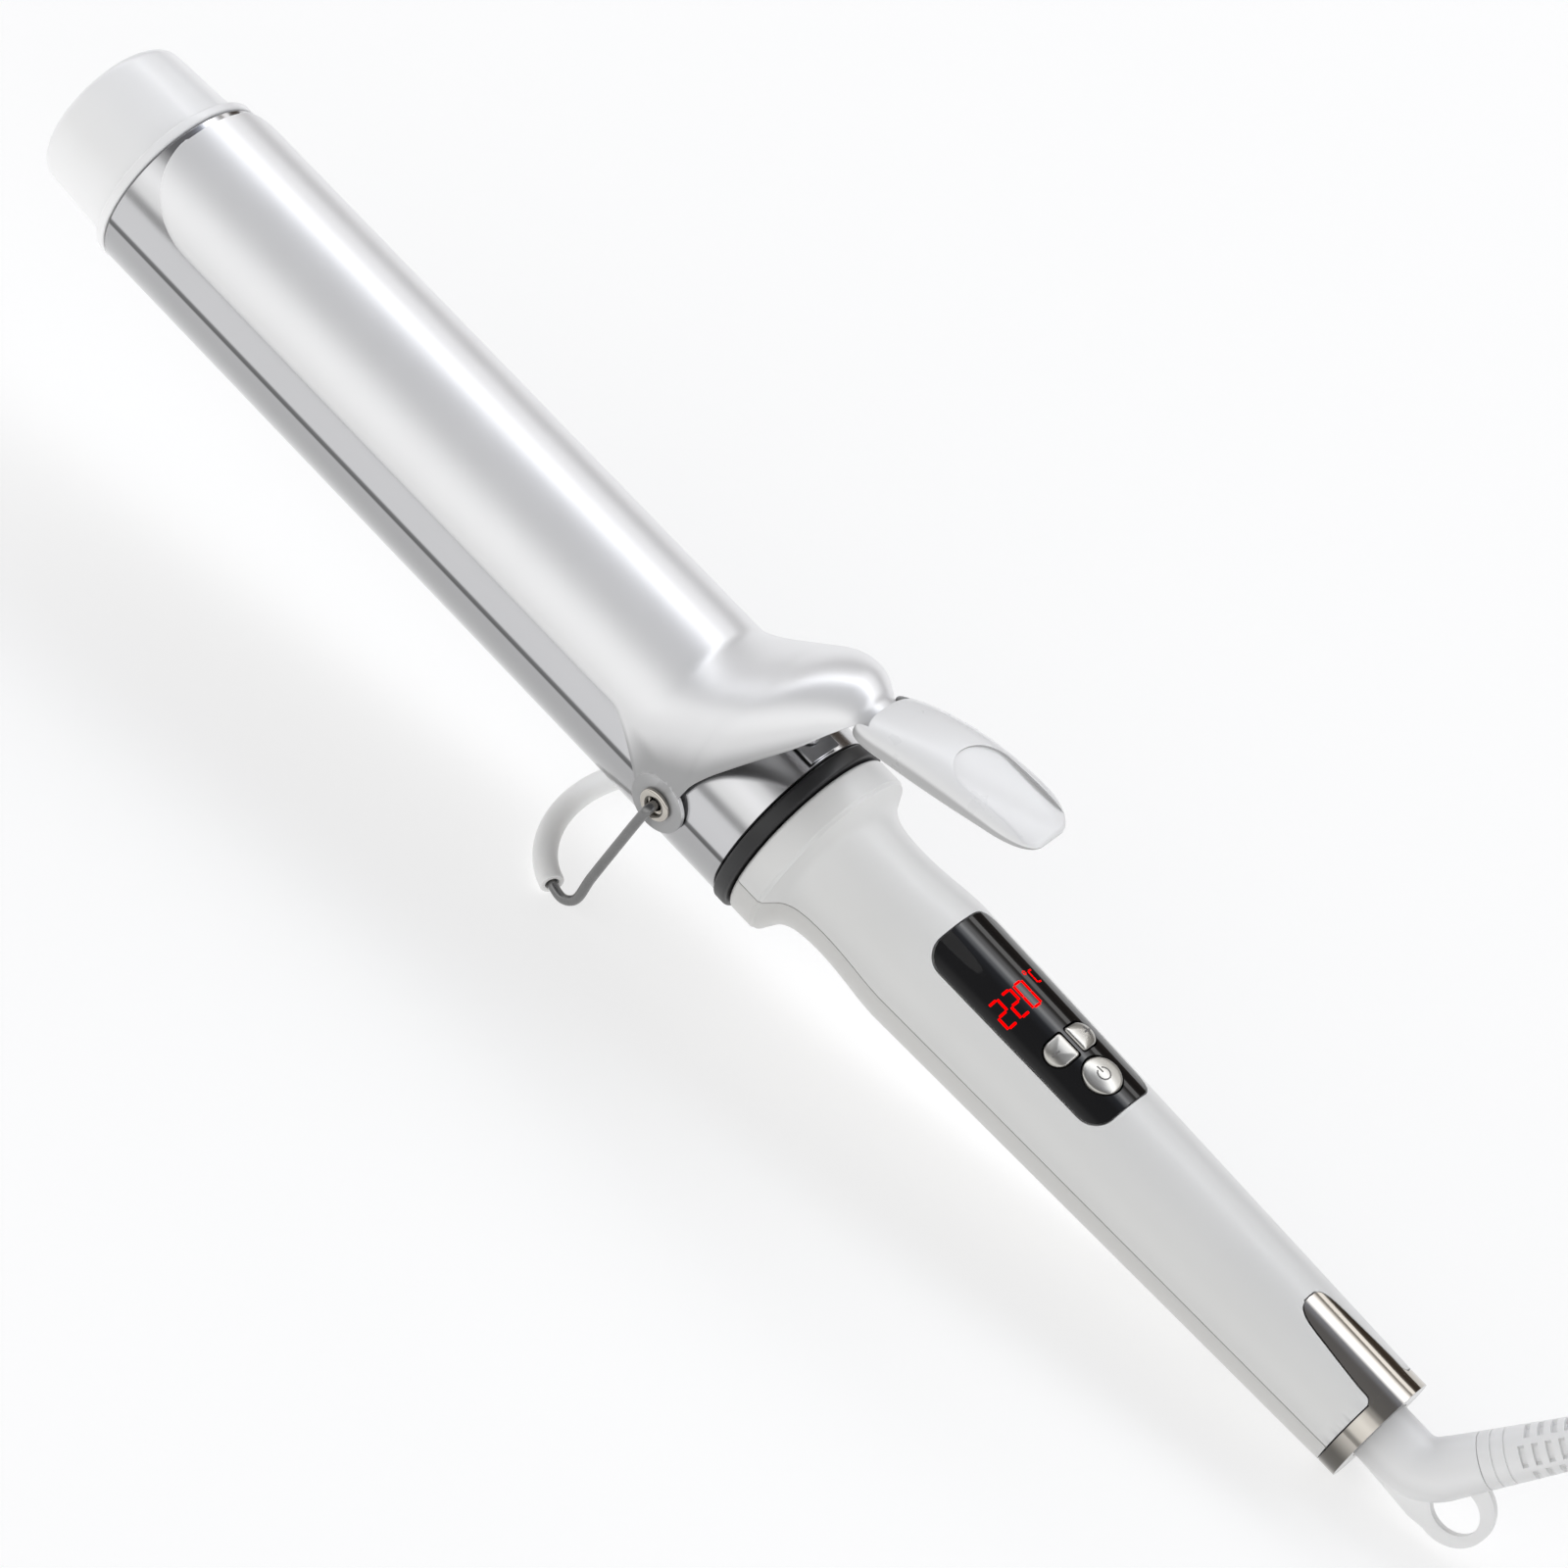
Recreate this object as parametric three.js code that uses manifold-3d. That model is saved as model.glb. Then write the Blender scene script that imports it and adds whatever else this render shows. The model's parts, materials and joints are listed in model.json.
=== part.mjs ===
// Curling iron with a spring clamp, a wire bench stand and a swivelling mains cord.
// Units are millimetres and +Z is up.
// The iron is drawn along its own axis: "station" runs along X, 0 at the tail end and negative
// towards the tip. The finished iron is then tipped up until it rests on its stand and its tail.
import * as THREE from "three";
import { mergeVertices } from "three/addons/utils/BufferGeometryUtils.js";
import Module from "manifold-3d";

const wasm = await Module();
wasm.setup();

// ---------------------------------------------------------------- driving dimensions

const GAP = 0.3; // between pieces that touch on the real iron
const ROUND_SIDES = 36; // facets round the large turned pieces
const SMALL_SIDES = 14; // facets round screws and pins

// barrel and tip
const BARREL_RADIUS = 19;
const BARREL_WALL = 1.2;
const BARREL_FRONT = -322.2;
const BARREL_REAR = -152.8;
const BARREL_BORE = BARREL_RADIUS - BARREL_WALL;
const TIP_END = -343.6;
const TIP_FLANGE_FRONT = -324.5;
const TIP_FLANGE_RADIUS = 19.2;

// clamp, turning on two eyelets through the sides of the barrel
const PIVOT_STATION = -169;
const EAR_RADIUS = 6;
const EYELET_BORE = 1.3;
const EYELET_SHANK = 1.9;
const EYELET_HEAD = 3.3;
const SHEET = 0.8; // thickness of the clamp's steel
const LEAF_MID_RADIUS = BARREL_RADIUS + GAP + SHEET / 2;
const LEAF_FRONT = -320.4;
const LEAF_HALF_ANGLE = 65; // degrees each side of the top
const LEAF_TIP_HALF_ANGLE = 20;
const LEAF_CORNER = 16; // length over which the front corners round off
const LEAF_COLUMNS = 16;

// handle, collar and neck
const COLLAR_FRONT = -149;
const COLLAR_RADIUS = 18.9;
const CREASE_STATION = -116;
const CREASE_RADIUS = 14.12;
const SHELL_REAR = -4;
const SHELL_REAR_RADIUS = 11.4;
const SHELL_WALL = 2;
const NECK_BORE = 11.1;
const SPLIT = GAP / 2; // half the seam between the upper and lower shell

// display and buttons, all on the top of the handle
const LENS_FRONT = -115;
const LENS_REAR = -70.8;
const LENS_HALF_ANGLE = 39;
const LENS_THICKNESS = 1.2;
const LENS_CORNER = 4.6;
const KEY_STATION = -85.85; // minus and plus
const KEY_ANGLE = 15;
const POWER_STATION = -77.8;
const POWER_RADIUS = 3.9;
const BUTTON_BOTTOM = 11;
const BUTTON_RISE = 0.6; // how far the buttons stand out of the lens
const BOARD_TOP = 6.1;
const BOARD_THICKNESS = 1.2;

// bench stand
const WIRE_RADIUS = 1;
const SLEEVE_RADIUS = 2.4;
const LEG_SIDE = 22.9; // distance of each leg from the middle of the iron
const FOOT_STATION = -172.8;
const FOOT_DROP = 36.5;
const FOOT_BULGE = 17.8; // how far the foot bows out towards the tip

// swivelling cord exit
const SWIVEL_LEAN = 32; // degrees from straight up, towards the far side
const ELBOW_BEND = 59;
const ELBOW_BEND_RADIUS = 8;
const ELBOW_STRAIGHT = 6;
const ELBOW_RADIUS = 6.15;
const ELBOW_TAIL = 7.4; // straight part of the elbow after its bend
const RELIEF_LENGTH = 34;
const RELIEF_START_RADIUS = 5.25;
const RELIEF_END_RADIUS = 3.9;
const LOOP_THICKNESS = 2.4;

// mains cord, folded into a tied hank with its two-pin plug lying on top
const CORD_RADIUS = 3.25;
const CORD_SIDES = 10;
const HANK_LEFT = 242; // centre of the hank's round end nearer the iron
const HANK_RIGHT = 296;
const HANK_Y = 12;
const HANK_HALF_WIDTH = 29.25;
const HANK_BOTTOM = 1.3;
const HANK_TOP = 20;
const TIE_START = 233;
const TIE_WIDTH = 10;
const TIE_THICKNESS = 1;
const PLUG_FACE_X = 246;
const PLUG_Y = -10.75;
const PLUG_LENGTH = 46.2;
const PLUG_HALF_WIDTH = 17.65;
const PLUG_THICKNESS = 13.7;
const PLUG_AXIS_HEIGHT = HANK_TOP + GAP + PLUG_THICKNESS / 2;
const PIN_RADIUS = 2;
const PIN_LENGTH = 19;
const PIN_SPACING = 18.6;

// ---------------------------------------------------------------- colours and finishes

function finish(color, roughness, metalness) {
  return new THREE.MeshStandardMaterial({ color, roughness, metalness });
}

const WHITE_PLASTIC = finish(0xe9e8e5, 0.42, 0);
const CAP_PLASTIC = finish(0xf4f4f4, 0.4, 0);
const PEARL_STEEL = finish(0xe3e3e4, 0.3, 0.55);
const CHROME = finish(0xd9dadd, 0.12, 1);
const NICKEL = finish(0xb9b4ab, 0.15, 1);
const SPRING_STEEL = finish(0x9a9b9e, 0.25, 1);
const DARK_WIRE = finish(0x6b6a6a, 0.3, 1);
const BLACK_RESIN = finish(0x161616, 0.6, 0);
const BLACK_LENS = finish(0x0a0908, 0.06, 0);
const SILVER_BUTTON = finish(0xc6c5bd, 0.18, 0.8);
const ALUMINIUM = finish(0xbfc2c5, 0.4, 1);
const CERAMIC = finish(0xe4dccb, 0.7, 0);
const MICA = finish(0xb79b63, 0.7, 0);
const GREEN_BOARD = finish(0x1f6a3c, 0.5, 0);
const BRASS = finish(0xc8a24a, 0.25, 1);
const NYLON = finish(0xd8d6cf, 0.5, 0);
const WHITE_SILICONE = finish(0xf2f2f0, 0.55, 0);
const WHITE_CABLE = finish(0xefefee, 0.45, 0);

// ---------------------------------------------------------------- geometry helpers

const radians = THREE.MathUtils.degToRad;

// Keeps only positions, merges shared corners and turns the faces outwards.
function clean(geometry) {
  geometry.deleteAttribute("normal");
  geometry.deleteAttribute("uv");
  const merged = mergeVertices(geometry, 1e-4);
  const p = merged.attributes.position;
  const index = merged.index.array;
  const [a, b, c] = [new THREE.Vector3(), new THREE.Vector3(), new THREE.Vector3()];
  let volume = 0;
  for (let i = 0; i < index.length; i += 3) {
    a.fromBufferAttribute(p, index[i]);
    b.fromBufferAttribute(p, index[i + 1]);
    c.fromBufferAttribute(p, index[i + 2]);
    volume += a.dot(b.cross(c));
  }
  if (volume < 0) {
    for (let i = 0; i < index.length; i += 3) {
      [index[i + 1], index[i + 2]] = [index[i + 2], index[i + 1]];
    }
  }
  return merged;
}

function toSolid(geometry) {
  const cleaned = clean(geometry);
  return new wasm.Manifold(
    new wasm.Mesh({
      numProp: 3,
      vertProperties: new Float32Array(cleaned.attributes.position.array),
      triVerts: new Uint32Array(cleaned.index.array),
    }),
  );
}

function fromSolid(solid) {
  const mesh = solid.getMesh();
  return new THREE.BufferGeometry()
    .setAttribute("position", new THREE.BufferAttribute(mesh.vertProperties, 3))
    .setIndex(new THREE.BufferAttribute(mesh.triVerts, 1));
}

// One geometry joined to some others, then cut by some more.
function carve(base, { join = [], cut = [] }) {
  let solid = toSolid(base);
  for (const piece of join) solid = solid.add(toSolid(piece));
  for (const piece of cut) solid = solid.subtract(toSolid(piece));
  return fromSolid(solid);
}

// A [station, radius] profile turned round the X axis. A ring's profile is closed here.
function turned(profile, sides = ROUND_SIDES) {
  const points = profile.map(([station, radius]) => new THREE.Vector2(radius, station));
  const onAxis = points[0].x === 0 && points.at(-1).x === 0;
  if (!onAxis) points.push(points[0].clone());
  return new THREE.LatheGeometry(points, sides).rotateZ(-Math.PI / 2);
}

// A [height, radius] profile turned round a vertical line through (x, y).
function turnedUpright(profile, x, y, sides = SMALL_SIDES) {
  return turned(profile, sides).rotateY(-Math.PI / 2).translate(x, y, 0);
}

function block(x0, x1, y0, y1, z0, z1) {
  return new THREE.BoxGeometry(x1 - x0, y1 - y0, z1 - z0).translate(
    (x0 + x1) / 2,
    (y0 + y1) / 2,
    (z0 + z1) / 2,
  );
}

// A cylinder with its axis along Y.
function rodAcross(x, z, radius, y0, y1, sides = SMALL_SIDES) {
  return new THREE.CylinderGeometry(radius, radius, y1 - y0, sides).translate(x, (y0 + y1) / 2, z);
}

// A cylinder with its axis along Z.
function rodUpright(x, y, radius, z0, z1, sides = SMALL_SIDES) {
  return new THREE.CylinderGeometry(radius, radius, z1 - z0, sides)
    .rotateX(Math.PI / 2)
    .translate(x, y, (z0 + z1) / 2);
}

// A cylinder with its axis along X.
function rodAlong(y, z, radius, x0, x1, sides = SMALL_SIDES) {
  return new THREE.CylinderGeometry(radius, radius, x1 - x0, sides)
    .rotateZ(Math.PI / 2)
    .translate((x0 + x1) / 2, y, z);
}

// Closed solid between two equal grids of points, an outer skin and an inner one.
function shellBetween(outer, inner) {
  const rows = outer.length;
  const columns = outer[0].length;
  const positions = [...outer.flat(), ...inner.flat()].flatMap((p) => [p.x, p.y, p.z]);
  const at = (layer, row, column) => (layer * rows + row) * columns + column;
  const index = [];
  const quad = (a, b, c, d) => index.push(a, b, c, a, c, d);
  for (let r = 0; r < rows - 1; r++) {
    for (let c = 0; c < columns - 1; c++) {
      quad(at(0, r, c), at(0, r + 1, c), at(0, r + 1, c + 1), at(0, r, c + 1));
      quad(at(1, r, c), at(1, r, c + 1), at(1, r + 1, c + 1), at(1, r + 1, c));
    }
    quad(at(0, r, 0), at(1, r, 0), at(1, r + 1, 0), at(0, r + 1, 0));
    const last = columns - 1;
    quad(at(0, r, last), at(0, r + 1, last), at(1, r + 1, last), at(1, r, last));
  }
  for (let c = 0; c < columns - 1; c++) {
    const end = rows - 1;
    quad(at(0, 0, c), at(0, 0, c + 1), at(1, 0, c + 1), at(1, 0, c));
    quad(at(0, end, c), at(1, end, c), at(1, end, c + 1), at(0, end, c + 1));
  }
  return new THREE.BufferGeometry()
    .setAttribute("position", new THREE.Float32BufferAttribute(positions, 3))
    .setIndex(index);
}

// Closed solid through a row of rings, each an equal list of points.
function loft(rings) {
  const sides = rings[0].length;
  const positions = rings.flat().flatMap((p) => [p.x, p.y, p.z]);
  const index = [];
  for (let r = 0; r < rings.length - 1; r++) {
    for (let s = 0; s < sides; s++) {
      const next = (s + 1) % sides;
      const [a, b] = [r * sides + s, r * sides + next];
      index.push(a, b, b + sides, a, b + sides, a + sides);
    }
  }
  const addCap = (first, flip) => {
    const middle = new THREE.Vector3();
    for (const point of rings[first / sides]) middle.add(point);
    middle.divideScalar(sides);
    const hub = positions.length / 3;
    positions.push(middle.x, middle.y, middle.z);
    for (let s = 0; s < sides; s++) {
      const next = first + ((s + 1) % sides);
      index.push(hub, ...(flip ? [next, first + s] : [first + s, next]));
    }
  };
  addCap(0, true);
  addCap((rings.length - 1) * sides, false);
  return new THREE.BufferGeometry()
    .setAttribute("position", new THREE.Float32BufferAttribute(positions, 3))
    .setIndex(index);
}

function circleShape(radius, sides) {
  const corner = (i) => {
    const turn = (i * 2 * Math.PI) / sides;
    return new THREE.Vector2(radius * Math.cos(turn), radius * Math.sin(turn));
  };
  return new THREE.Shape(Array.from({ length: sides }, (_, i) => corner(i)));
}

// A round section swept along a curve; a bore makes it a hose.
function swept(curve, radius, sides, steps, bore = 0) {
  const section = circleShape(radius, sides);
  if (bore > 0) section.holes.push(circleShape(bore, sides));
  return new THREE.ExtrudeGeometry(section, { steps, bevelEnabled: false, extrudePath: curve });
}

// An outline drawn in (y, z), pulled along X.
function pulledAlongX(shape, x0, x1, curveSegments = 16) {
  const turn = new THREE.Matrix4().makeBasis(
    new THREE.Vector3(0, 1, 0),
    new THREE.Vector3(0, 0, 1),
    new THREE.Vector3(1, 0, 0),
  );
  return new THREE.ExtrudeGeometry(shape, { depth: x1 - x0, bevelEnabled: false, curveSegments })
    .applyMatrix4(turn)
    .translate(x0, 0, 0);
}

// A point on a round surface about the X axis, angle in degrees from the top towards +Y.
function around(station, radius, angle) {
  const a = radians(angle);
  return new THREE.Vector3(station, radius * Math.sin(a), radius * Math.cos(a));
}

// Radius of the tapering handle behind its crease.
function handleRadius(station) {
  const slope = (SHELL_REAR_RADIUS - CREASE_RADIUS) / (SHELL_REAR - CREASE_STATION);
  return CREASE_RADIUS + slope * (station - CREASE_STATION);
}

// A plate bent over the handle's cone. Each row is [station, half angle].
function saddle(rows, outerOffset, innerOffset, columns = 10) {
  const skin = (offset) =>
    rows.map(([station, half]) =>
      Array.from({ length: columns + 1 }, (_, i) =>
        around(station, handleRadius(station) + offset, half * ((2 * i) / columns - 1)),
      ),
    );
  return shellBetween(skin(outerOffset), skin(innerOffset));
}

// ---------------------------------------------------------------- tip and barrel

function tipCap() {
  return turned([
    [TIP_END, 0],
    [TIP_END, 14.9],
    [TIP_END + 0.4, 15.8],
    [TIP_END + 1.2, 16.35],
    [TIP_END + 2.2, 16.5],
    [TIP_FLANGE_FRONT - GAP, 17.3],
    [TIP_FLANGE_FRONT - GAP, 15.2],
    [TIP_END + 2.4, 14.5],
    [TIP_END + 2.4, 3.6],
    [TIP_FLANGE_FRONT - 1.5, 3.6],
    [TIP_FLANGE_FRONT - 1.5, 1.6],
    [TIP_END + 5.5, 1.6],
    [TIP_END + 5.5, 0],
  ]);
}

function tipInsulator() {
  const flangeRear = BARREL_FRONT - GAP;
  return turned([
    [TIP_FLANGE_FRONT, 1.9],
    [TIP_FLANGE_FRONT, TIP_FLANGE_RADIUS - 0.5],
    [TIP_FLANGE_FRONT + 0.3, TIP_FLANGE_RADIUS],
    [flangeRear - 0.3, TIP_FLANGE_RADIUS],
    [flangeRear, TIP_FLANGE_RADIUS - 0.4],
    [flangeRear, BARREL_BORE - GAP],
    [flangeRear + 9, BARREL_BORE - GAP],
    [flangeRear + 9, 15.8],
    [flangeRear + 1.5, 15.8],
    [flangeRear + 1.5, 1.9],
  ]);
}

function tipScrew() {
  const headFront = BARREL_FRONT + 1.5;
  return turned(
    [
      [TIP_END + 6, 0],
      [TIP_END + 6, 1.3],
      [headFront, 1.3],
      [headFront, 2.9],
      [headFront + 1.6, 2.9],
      [headFront + 2.2, 2.2],
      [headFront + 2.2, 0],
    ],
    SMALL_SIDES,
  );
}

const RIVET_STATION = -158; // holds the clamp's leaf spring

function barrelTube() {
  const tube = turned([
    [BARREL_FRONT, BARREL_BORE],
    [BARREL_FRONT, BARREL_RADIUS],
    [BARREL_REAR, BARREL_RADIUS],
    [BARREL_REAR, BARREL_BORE],
  ]);
  const pivotHoles = rodAcross(PIVOT_STATION, 0, EYELET_SHANK + GAP, -25, 25);
  const rivetHole = rodUpright(RIVET_STATION, 0, 1.2 + GAP, 10, 25);
  return carve(tube, { cut: [pivotHoles, rivetHole] });
}

const HEATER_FRONT = -306;
const HEATER_REAR = -182;

// Half-round aluminium block, hollow along its length, that carries heat to the barrel.
function heatSpreader(side) {
  const outer = BARREL_BORE - 2 * GAP;
  const flat = 1.6 + GAP;
  const start = Math.asin(flat / outer);
  const section = new THREE.Shape();
  section.absarc(0, 0, outer, start, Math.PI - start, false);
  section.closePath();
  const hollowRadius = outer - 3;
  const hollowFlat = flat + 2.6;
  const hollowStart = Math.asin(hollowFlat / hollowRadius);
  const hollow = new THREE.Path();
  hollow.absarc(0, 0, hollowRadius, hollowStart, Math.PI - hollowStart, false);
  hollow.closePath();
  section.holes.push(hollow);
  const upper = pulledAlongX(section, HEATER_FRONT, HEATER_REAR, 12);
  return side > 0 ? upper : upper.rotateX(Math.PI);
}

function barrelHolder() {
  const webRear = BARREL_REAR - GAP;
  return turned([
    [-163.5, BARREL_BORE - GAP],
    [webRear, BARREL_BORE - GAP],
    [webRear, NECK_BORE - 0.4],
    [-120, NECK_BORE - 0.4],
    [-120, 9.2],
    [webRear - 1.5, 9.2],
    [webRear - 1.5, 15.9],
    [-163.5, 15.9],
  ]);
}

function heatRing() {
  const front = BARREL_REAR + GAP;
  const rear = COLLAR_FRONT - GAP;
  return turned([
    [front, NECK_BORE],
    [front, 18.7],
    [front + 0.3, 19.3],
    [front + 0.9, 19.6],
    [rear - 0.7, 19.6],
    [rear - 0.2, 19.3],
    [rear, 18.4],
    [rear, NECK_BORE],
  ]);
}

// ---------------------------------------------------------------- clamp

// Each row of the clamp's skin runs from the top middle down to one edge: an arc through the
// top, then a straight piece down the ear. The front rows lie on the barrel.
function leafRows() {
  const row = (station, half) => {
    const a = radians(half);
    const edge = [station, LEAF_MID_RADIUS * Math.sin(a), LEAF_MID_RADIUS * Math.cos(a)];
    return { top: [station, LEAF_MID_RADIUS], edge, low: [edge[1], edge[2]] };
  };
  const rows = [];
  const cornerSteps = 6;
  for (let i = 0; i < cornerSteps; i++) {
    const turn = (i / cornerSteps) * (Math.PI / 2);
    const half = LEAF_TIP_HALF_ANGLE + (LEAF_HALF_ANGLE - LEAF_TIP_HALF_ANGLE) * Math.sin(turn);
    rows.push(row(LEAF_FRONT + LEAF_CORNER * (1 - Math.cos(turn)), half));
  }
  for (const station of [LEAF_FRONT + LEAF_CORNER, -262, -222, -186.5]) {
    rows.push(row(station, LEAF_HALF_ANGLE));
  }
  return rows;
}

// The bend, the ears and the hood that narrows to the lever's tang: the top of the hood as
// [station, height], its edge as [station, half width, height] and the ear's low end as
// [half width, height].
const HOOD_ROWS = [
  { top: [-183.2, 19.7], edge: [-183.2, 17.86, 8.3], low: [18.45, 6.9] },
  { top: [-180.6, 20.1], edge: [-180.6, 18.0, 8.2], low: [18.97, 5.3] },
  { top: [-177.6, 22.1], edge: [-177, 18.7, 8.1], low: [19.6, 2.4] },
  { top: [-174.2, 25.0], edge: [-173.4, 19.4, 8.1], low: [19.75, -1.5] },
  { top: [-171, 28.1], edge: [-170, 19.75, 8.3], low: [19.75, -3] },
  { top: [-168.8, 30.3], edge: [-167, 19.75, 8.9], low: [19.75, -3] },
  { top: [-167, 32.0], edge: [-165.6, 19.7, 10.2], low: [19.72, 8.2] },
  { top: [-164.8, 34.2], edge: [-164, 19.2, 14.4], low: [19.25, 13.8] },
  { top: [-161.8, 36.9], edge: [-161.2, 17.6, 19.8], low: [17.7, 19.3] },
  { top: [-158.4, 39.1], edge: [-157.8, 15.0, 25.4], low: [15.1, 25] },
  { top: [-155, 40.4], edge: [-154.6, 11.9, 30.1], low: [12.05, 29.8] },
  { top: [-151.8, 40.2], edge: [-151.6, 7.8, 35.5], low: [7.95, 35.2] },
  { top: [-149.8, 39.2], edge: [-149.7, 5.0, 37.5], low: [5.05, 37.4] },
  { top: [-147, 39.0], edge: [-147, 4.4, 38.2], low: [4.45, 38.1] },
  { top: [-143, 40.2], edge: [-143, 4.4, 39.8], low: [4.45, 39.7] },
  { top: [-128, 45.2], edge: [-128, 4.2, 45], low: [4.25, 44.9] },
];

// A point of one row; "across" runs from -1 on the near edge to 1 on the far edge.
function clampPoint({ top, edge, low }, across) {
  const side = Math.sign(across) || 1;
  const [edgeStation, halfWidth, edgeHeight] = edge;
  const rise = top[1] - edgeHeight;
  const radius = (halfWidth ** 2 + rise ** 2) / (2 * rise);
  const centre = top[1] - radius;
  const sweep = Math.atan2(halfWidth, edgeHeight - centre);
  const arcLength = radius * sweep;
  const earLength = Math.hypot(low[0] - halfWidth, low[1] - edgeHeight);
  const travel = Math.abs(across) * (arcLength + earLength);
  if (travel > arcLength) {
    const along = (travel - arcLength) / earLength;
    const y = THREE.MathUtils.lerp(halfWidth, low[0], along);
    return new THREE.Vector3(edgeStation, side * y, THREE.MathUtils.lerp(edgeHeight, low[1], along));
  }
  const a = travel / radius;
  const station = THREE.MathUtils.lerp(top[0], edgeStation, (travel / arcLength) ** 2);
  return new THREE.Vector3(station, side * radius * Math.sin(a), centre + radius * Math.cos(a));
}

// Moves every point of a grid along its surface normal.
function offsetGrid(grid, distance) {
  const pick = (row, column) => {
    const r = THREE.MathUtils.clamp(row, 0, grid.length - 1);
    const c = THREE.MathUtils.clamp(column, 0, grid[0].length - 1);
    return grid[r][c];
  };
  return grid.map((line, r) =>
    line.map((point, c) => {
      const along = pick(r + 1, c).clone().sub(pick(r - 1, c));
      const across = pick(r, c + 1).clone().sub(pick(r, c - 1));
      return point.clone().addScaledVector(along.cross(across).normalize(), distance);
    }),
  );
}

const TANG_SCREW_STATION = -133;

function clampPlate() {
  const across = (i) => (2 * i) / LEAF_COLUMNS - 1;
  const middle = [...leafRows(), ...HOOD_ROWS].map((row) =>
    Array.from({ length: LEAF_COLUMNS + 1 }, (_, i) => clampPoint(row, across(i))),
  );
  const sheet = shellBetween(offsetGrid(middle, SHEET / 2), offsetGrid(middle, -SHEET / 2));
  const earInside = BARREL_RADIUS + 0.35;
  const ear = (side) =>
    rodAcross(
      PIVOT_STATION,
      0,
      EAR_RADIUS,
      side > 0 ? earInside : -earInside - SHEET,
      side > 0 ? earInside + SHEET : -earInside,
      28,
    );
  const pivotHoles = rodAcross(PIVOT_STATION, 0, EYELET_SHANK + GAP, -25, 25);
  const screwHole = rodUpright(TANG_SCREW_STATION, 0, 1.5, 35, 50);
  return carve(sheet, { join: [ear(-1), ear(1)], cut: [pivotHoles, screwHole] });
}

// Thumb paddle: [station, half width, underside, top] from the front end to the rear end.
const PADDLE_SECTIONS = [
  [-150.0, 4.6, 36.4, 38.9],
  [-149.5, 5.9, 35.6, 39.6],
  [-148.2, 6.9, 35.4, 40.5],
  [-145.5, 7.7, 36.1, 42.0],
  [-141, 8.2, 37.6, 44.2],
  [-135, 8.5, 39.4, 46.5],
  [-128, 8.5, 41.6, 48.2],
  [-121, 8.2, 43.9, 49.0],
  [-116, 7.6, 45.3, 49.2],
  [-112.6, 6.3, 46.2, 48.9],
  [-110.6, 4.6, 46.9, 48.3],
  [-109.9, 3.1, 47.3, 47.9],
];

// A ring shaped like a rounded bar, flatter underneath than on top.
function paddleRing([station, half, under, top]) {
  const sides = 24;
  const middle = (under + top) / 2;
  const rise = (top - under) / 2;
  return Array.from({ length: sides }, (_, i) => {
    const a = (i * 2 * Math.PI) / sides;
    const soften = (value, power) => Math.sign(value) * Math.abs(value) ** power;
    return new THREE.Vector3(
      station,
      half * soften(Math.cos(a), 0.72),
      middle + rise * soften(Math.sin(a), Math.sin(a) > 0 ? 0.8 : 0.5),
    );
  });
}

// The thumb rest is a shallow nail-shaped step in the paddle's top.
function thumbRest() {
  const length = 26;
  const half = 6.2;
  const outline = new THREE.Shape();
  outline.moveTo(length, -half + 0.6);
  outline.lineTo(length, half - 0.6);
  outline.lineTo(half, half);
  outline.absarc(half, 0, half, Math.PI / 2, (3 * Math.PI) / 2, false);
  outline.closePath();
  return new THREE.ExtrudeGeometry(outline, { depth: 6, bevelEnabled: false, curveSegments: 10 })
    .rotateY(radians(-4))
    .translate(-132.5, 0, 46.8);
}

function thumbPaddle() {
  const slot = block(-8, 18, -4.6 - GAP, 4.6 + GAP, -1.1, 1.1).rotateY(radians(-18.8));
  slot.translate(-143, 0, 40.05);
  const mouth = block(-152, -145, -5.7, 5.7, 36.7, 40.3);
  const screwWell = rodUpright(TANG_SCREW_STATION, 0, 2.9, 30, 42.2);
  const screwBore = rodUpright(TANG_SCREW_STATION, 0, 1.5, 30, 45.6);
  return carve(loft(PADDLE_SECTIONS.map(paddleRing)), {
    cut: [slot, mouth, screwWell, screwBore, thumbRest()],
  });
}

function paddleScrew() {
  return turnedUpright(
    [
      [39.7, 0],
      [39.7, 2.1],
      [40.2, 2.5],
      [41.9, 2.5],
      [41.9, 1.2],
      [45.2, 1.2],
      [45.2, 0],
    ],
    TANG_SCREW_STATION,
    0,
  );
}

const SPRING_WIDTH = 7.4;
const SPRING_THICKNESS = 0.6;

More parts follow.
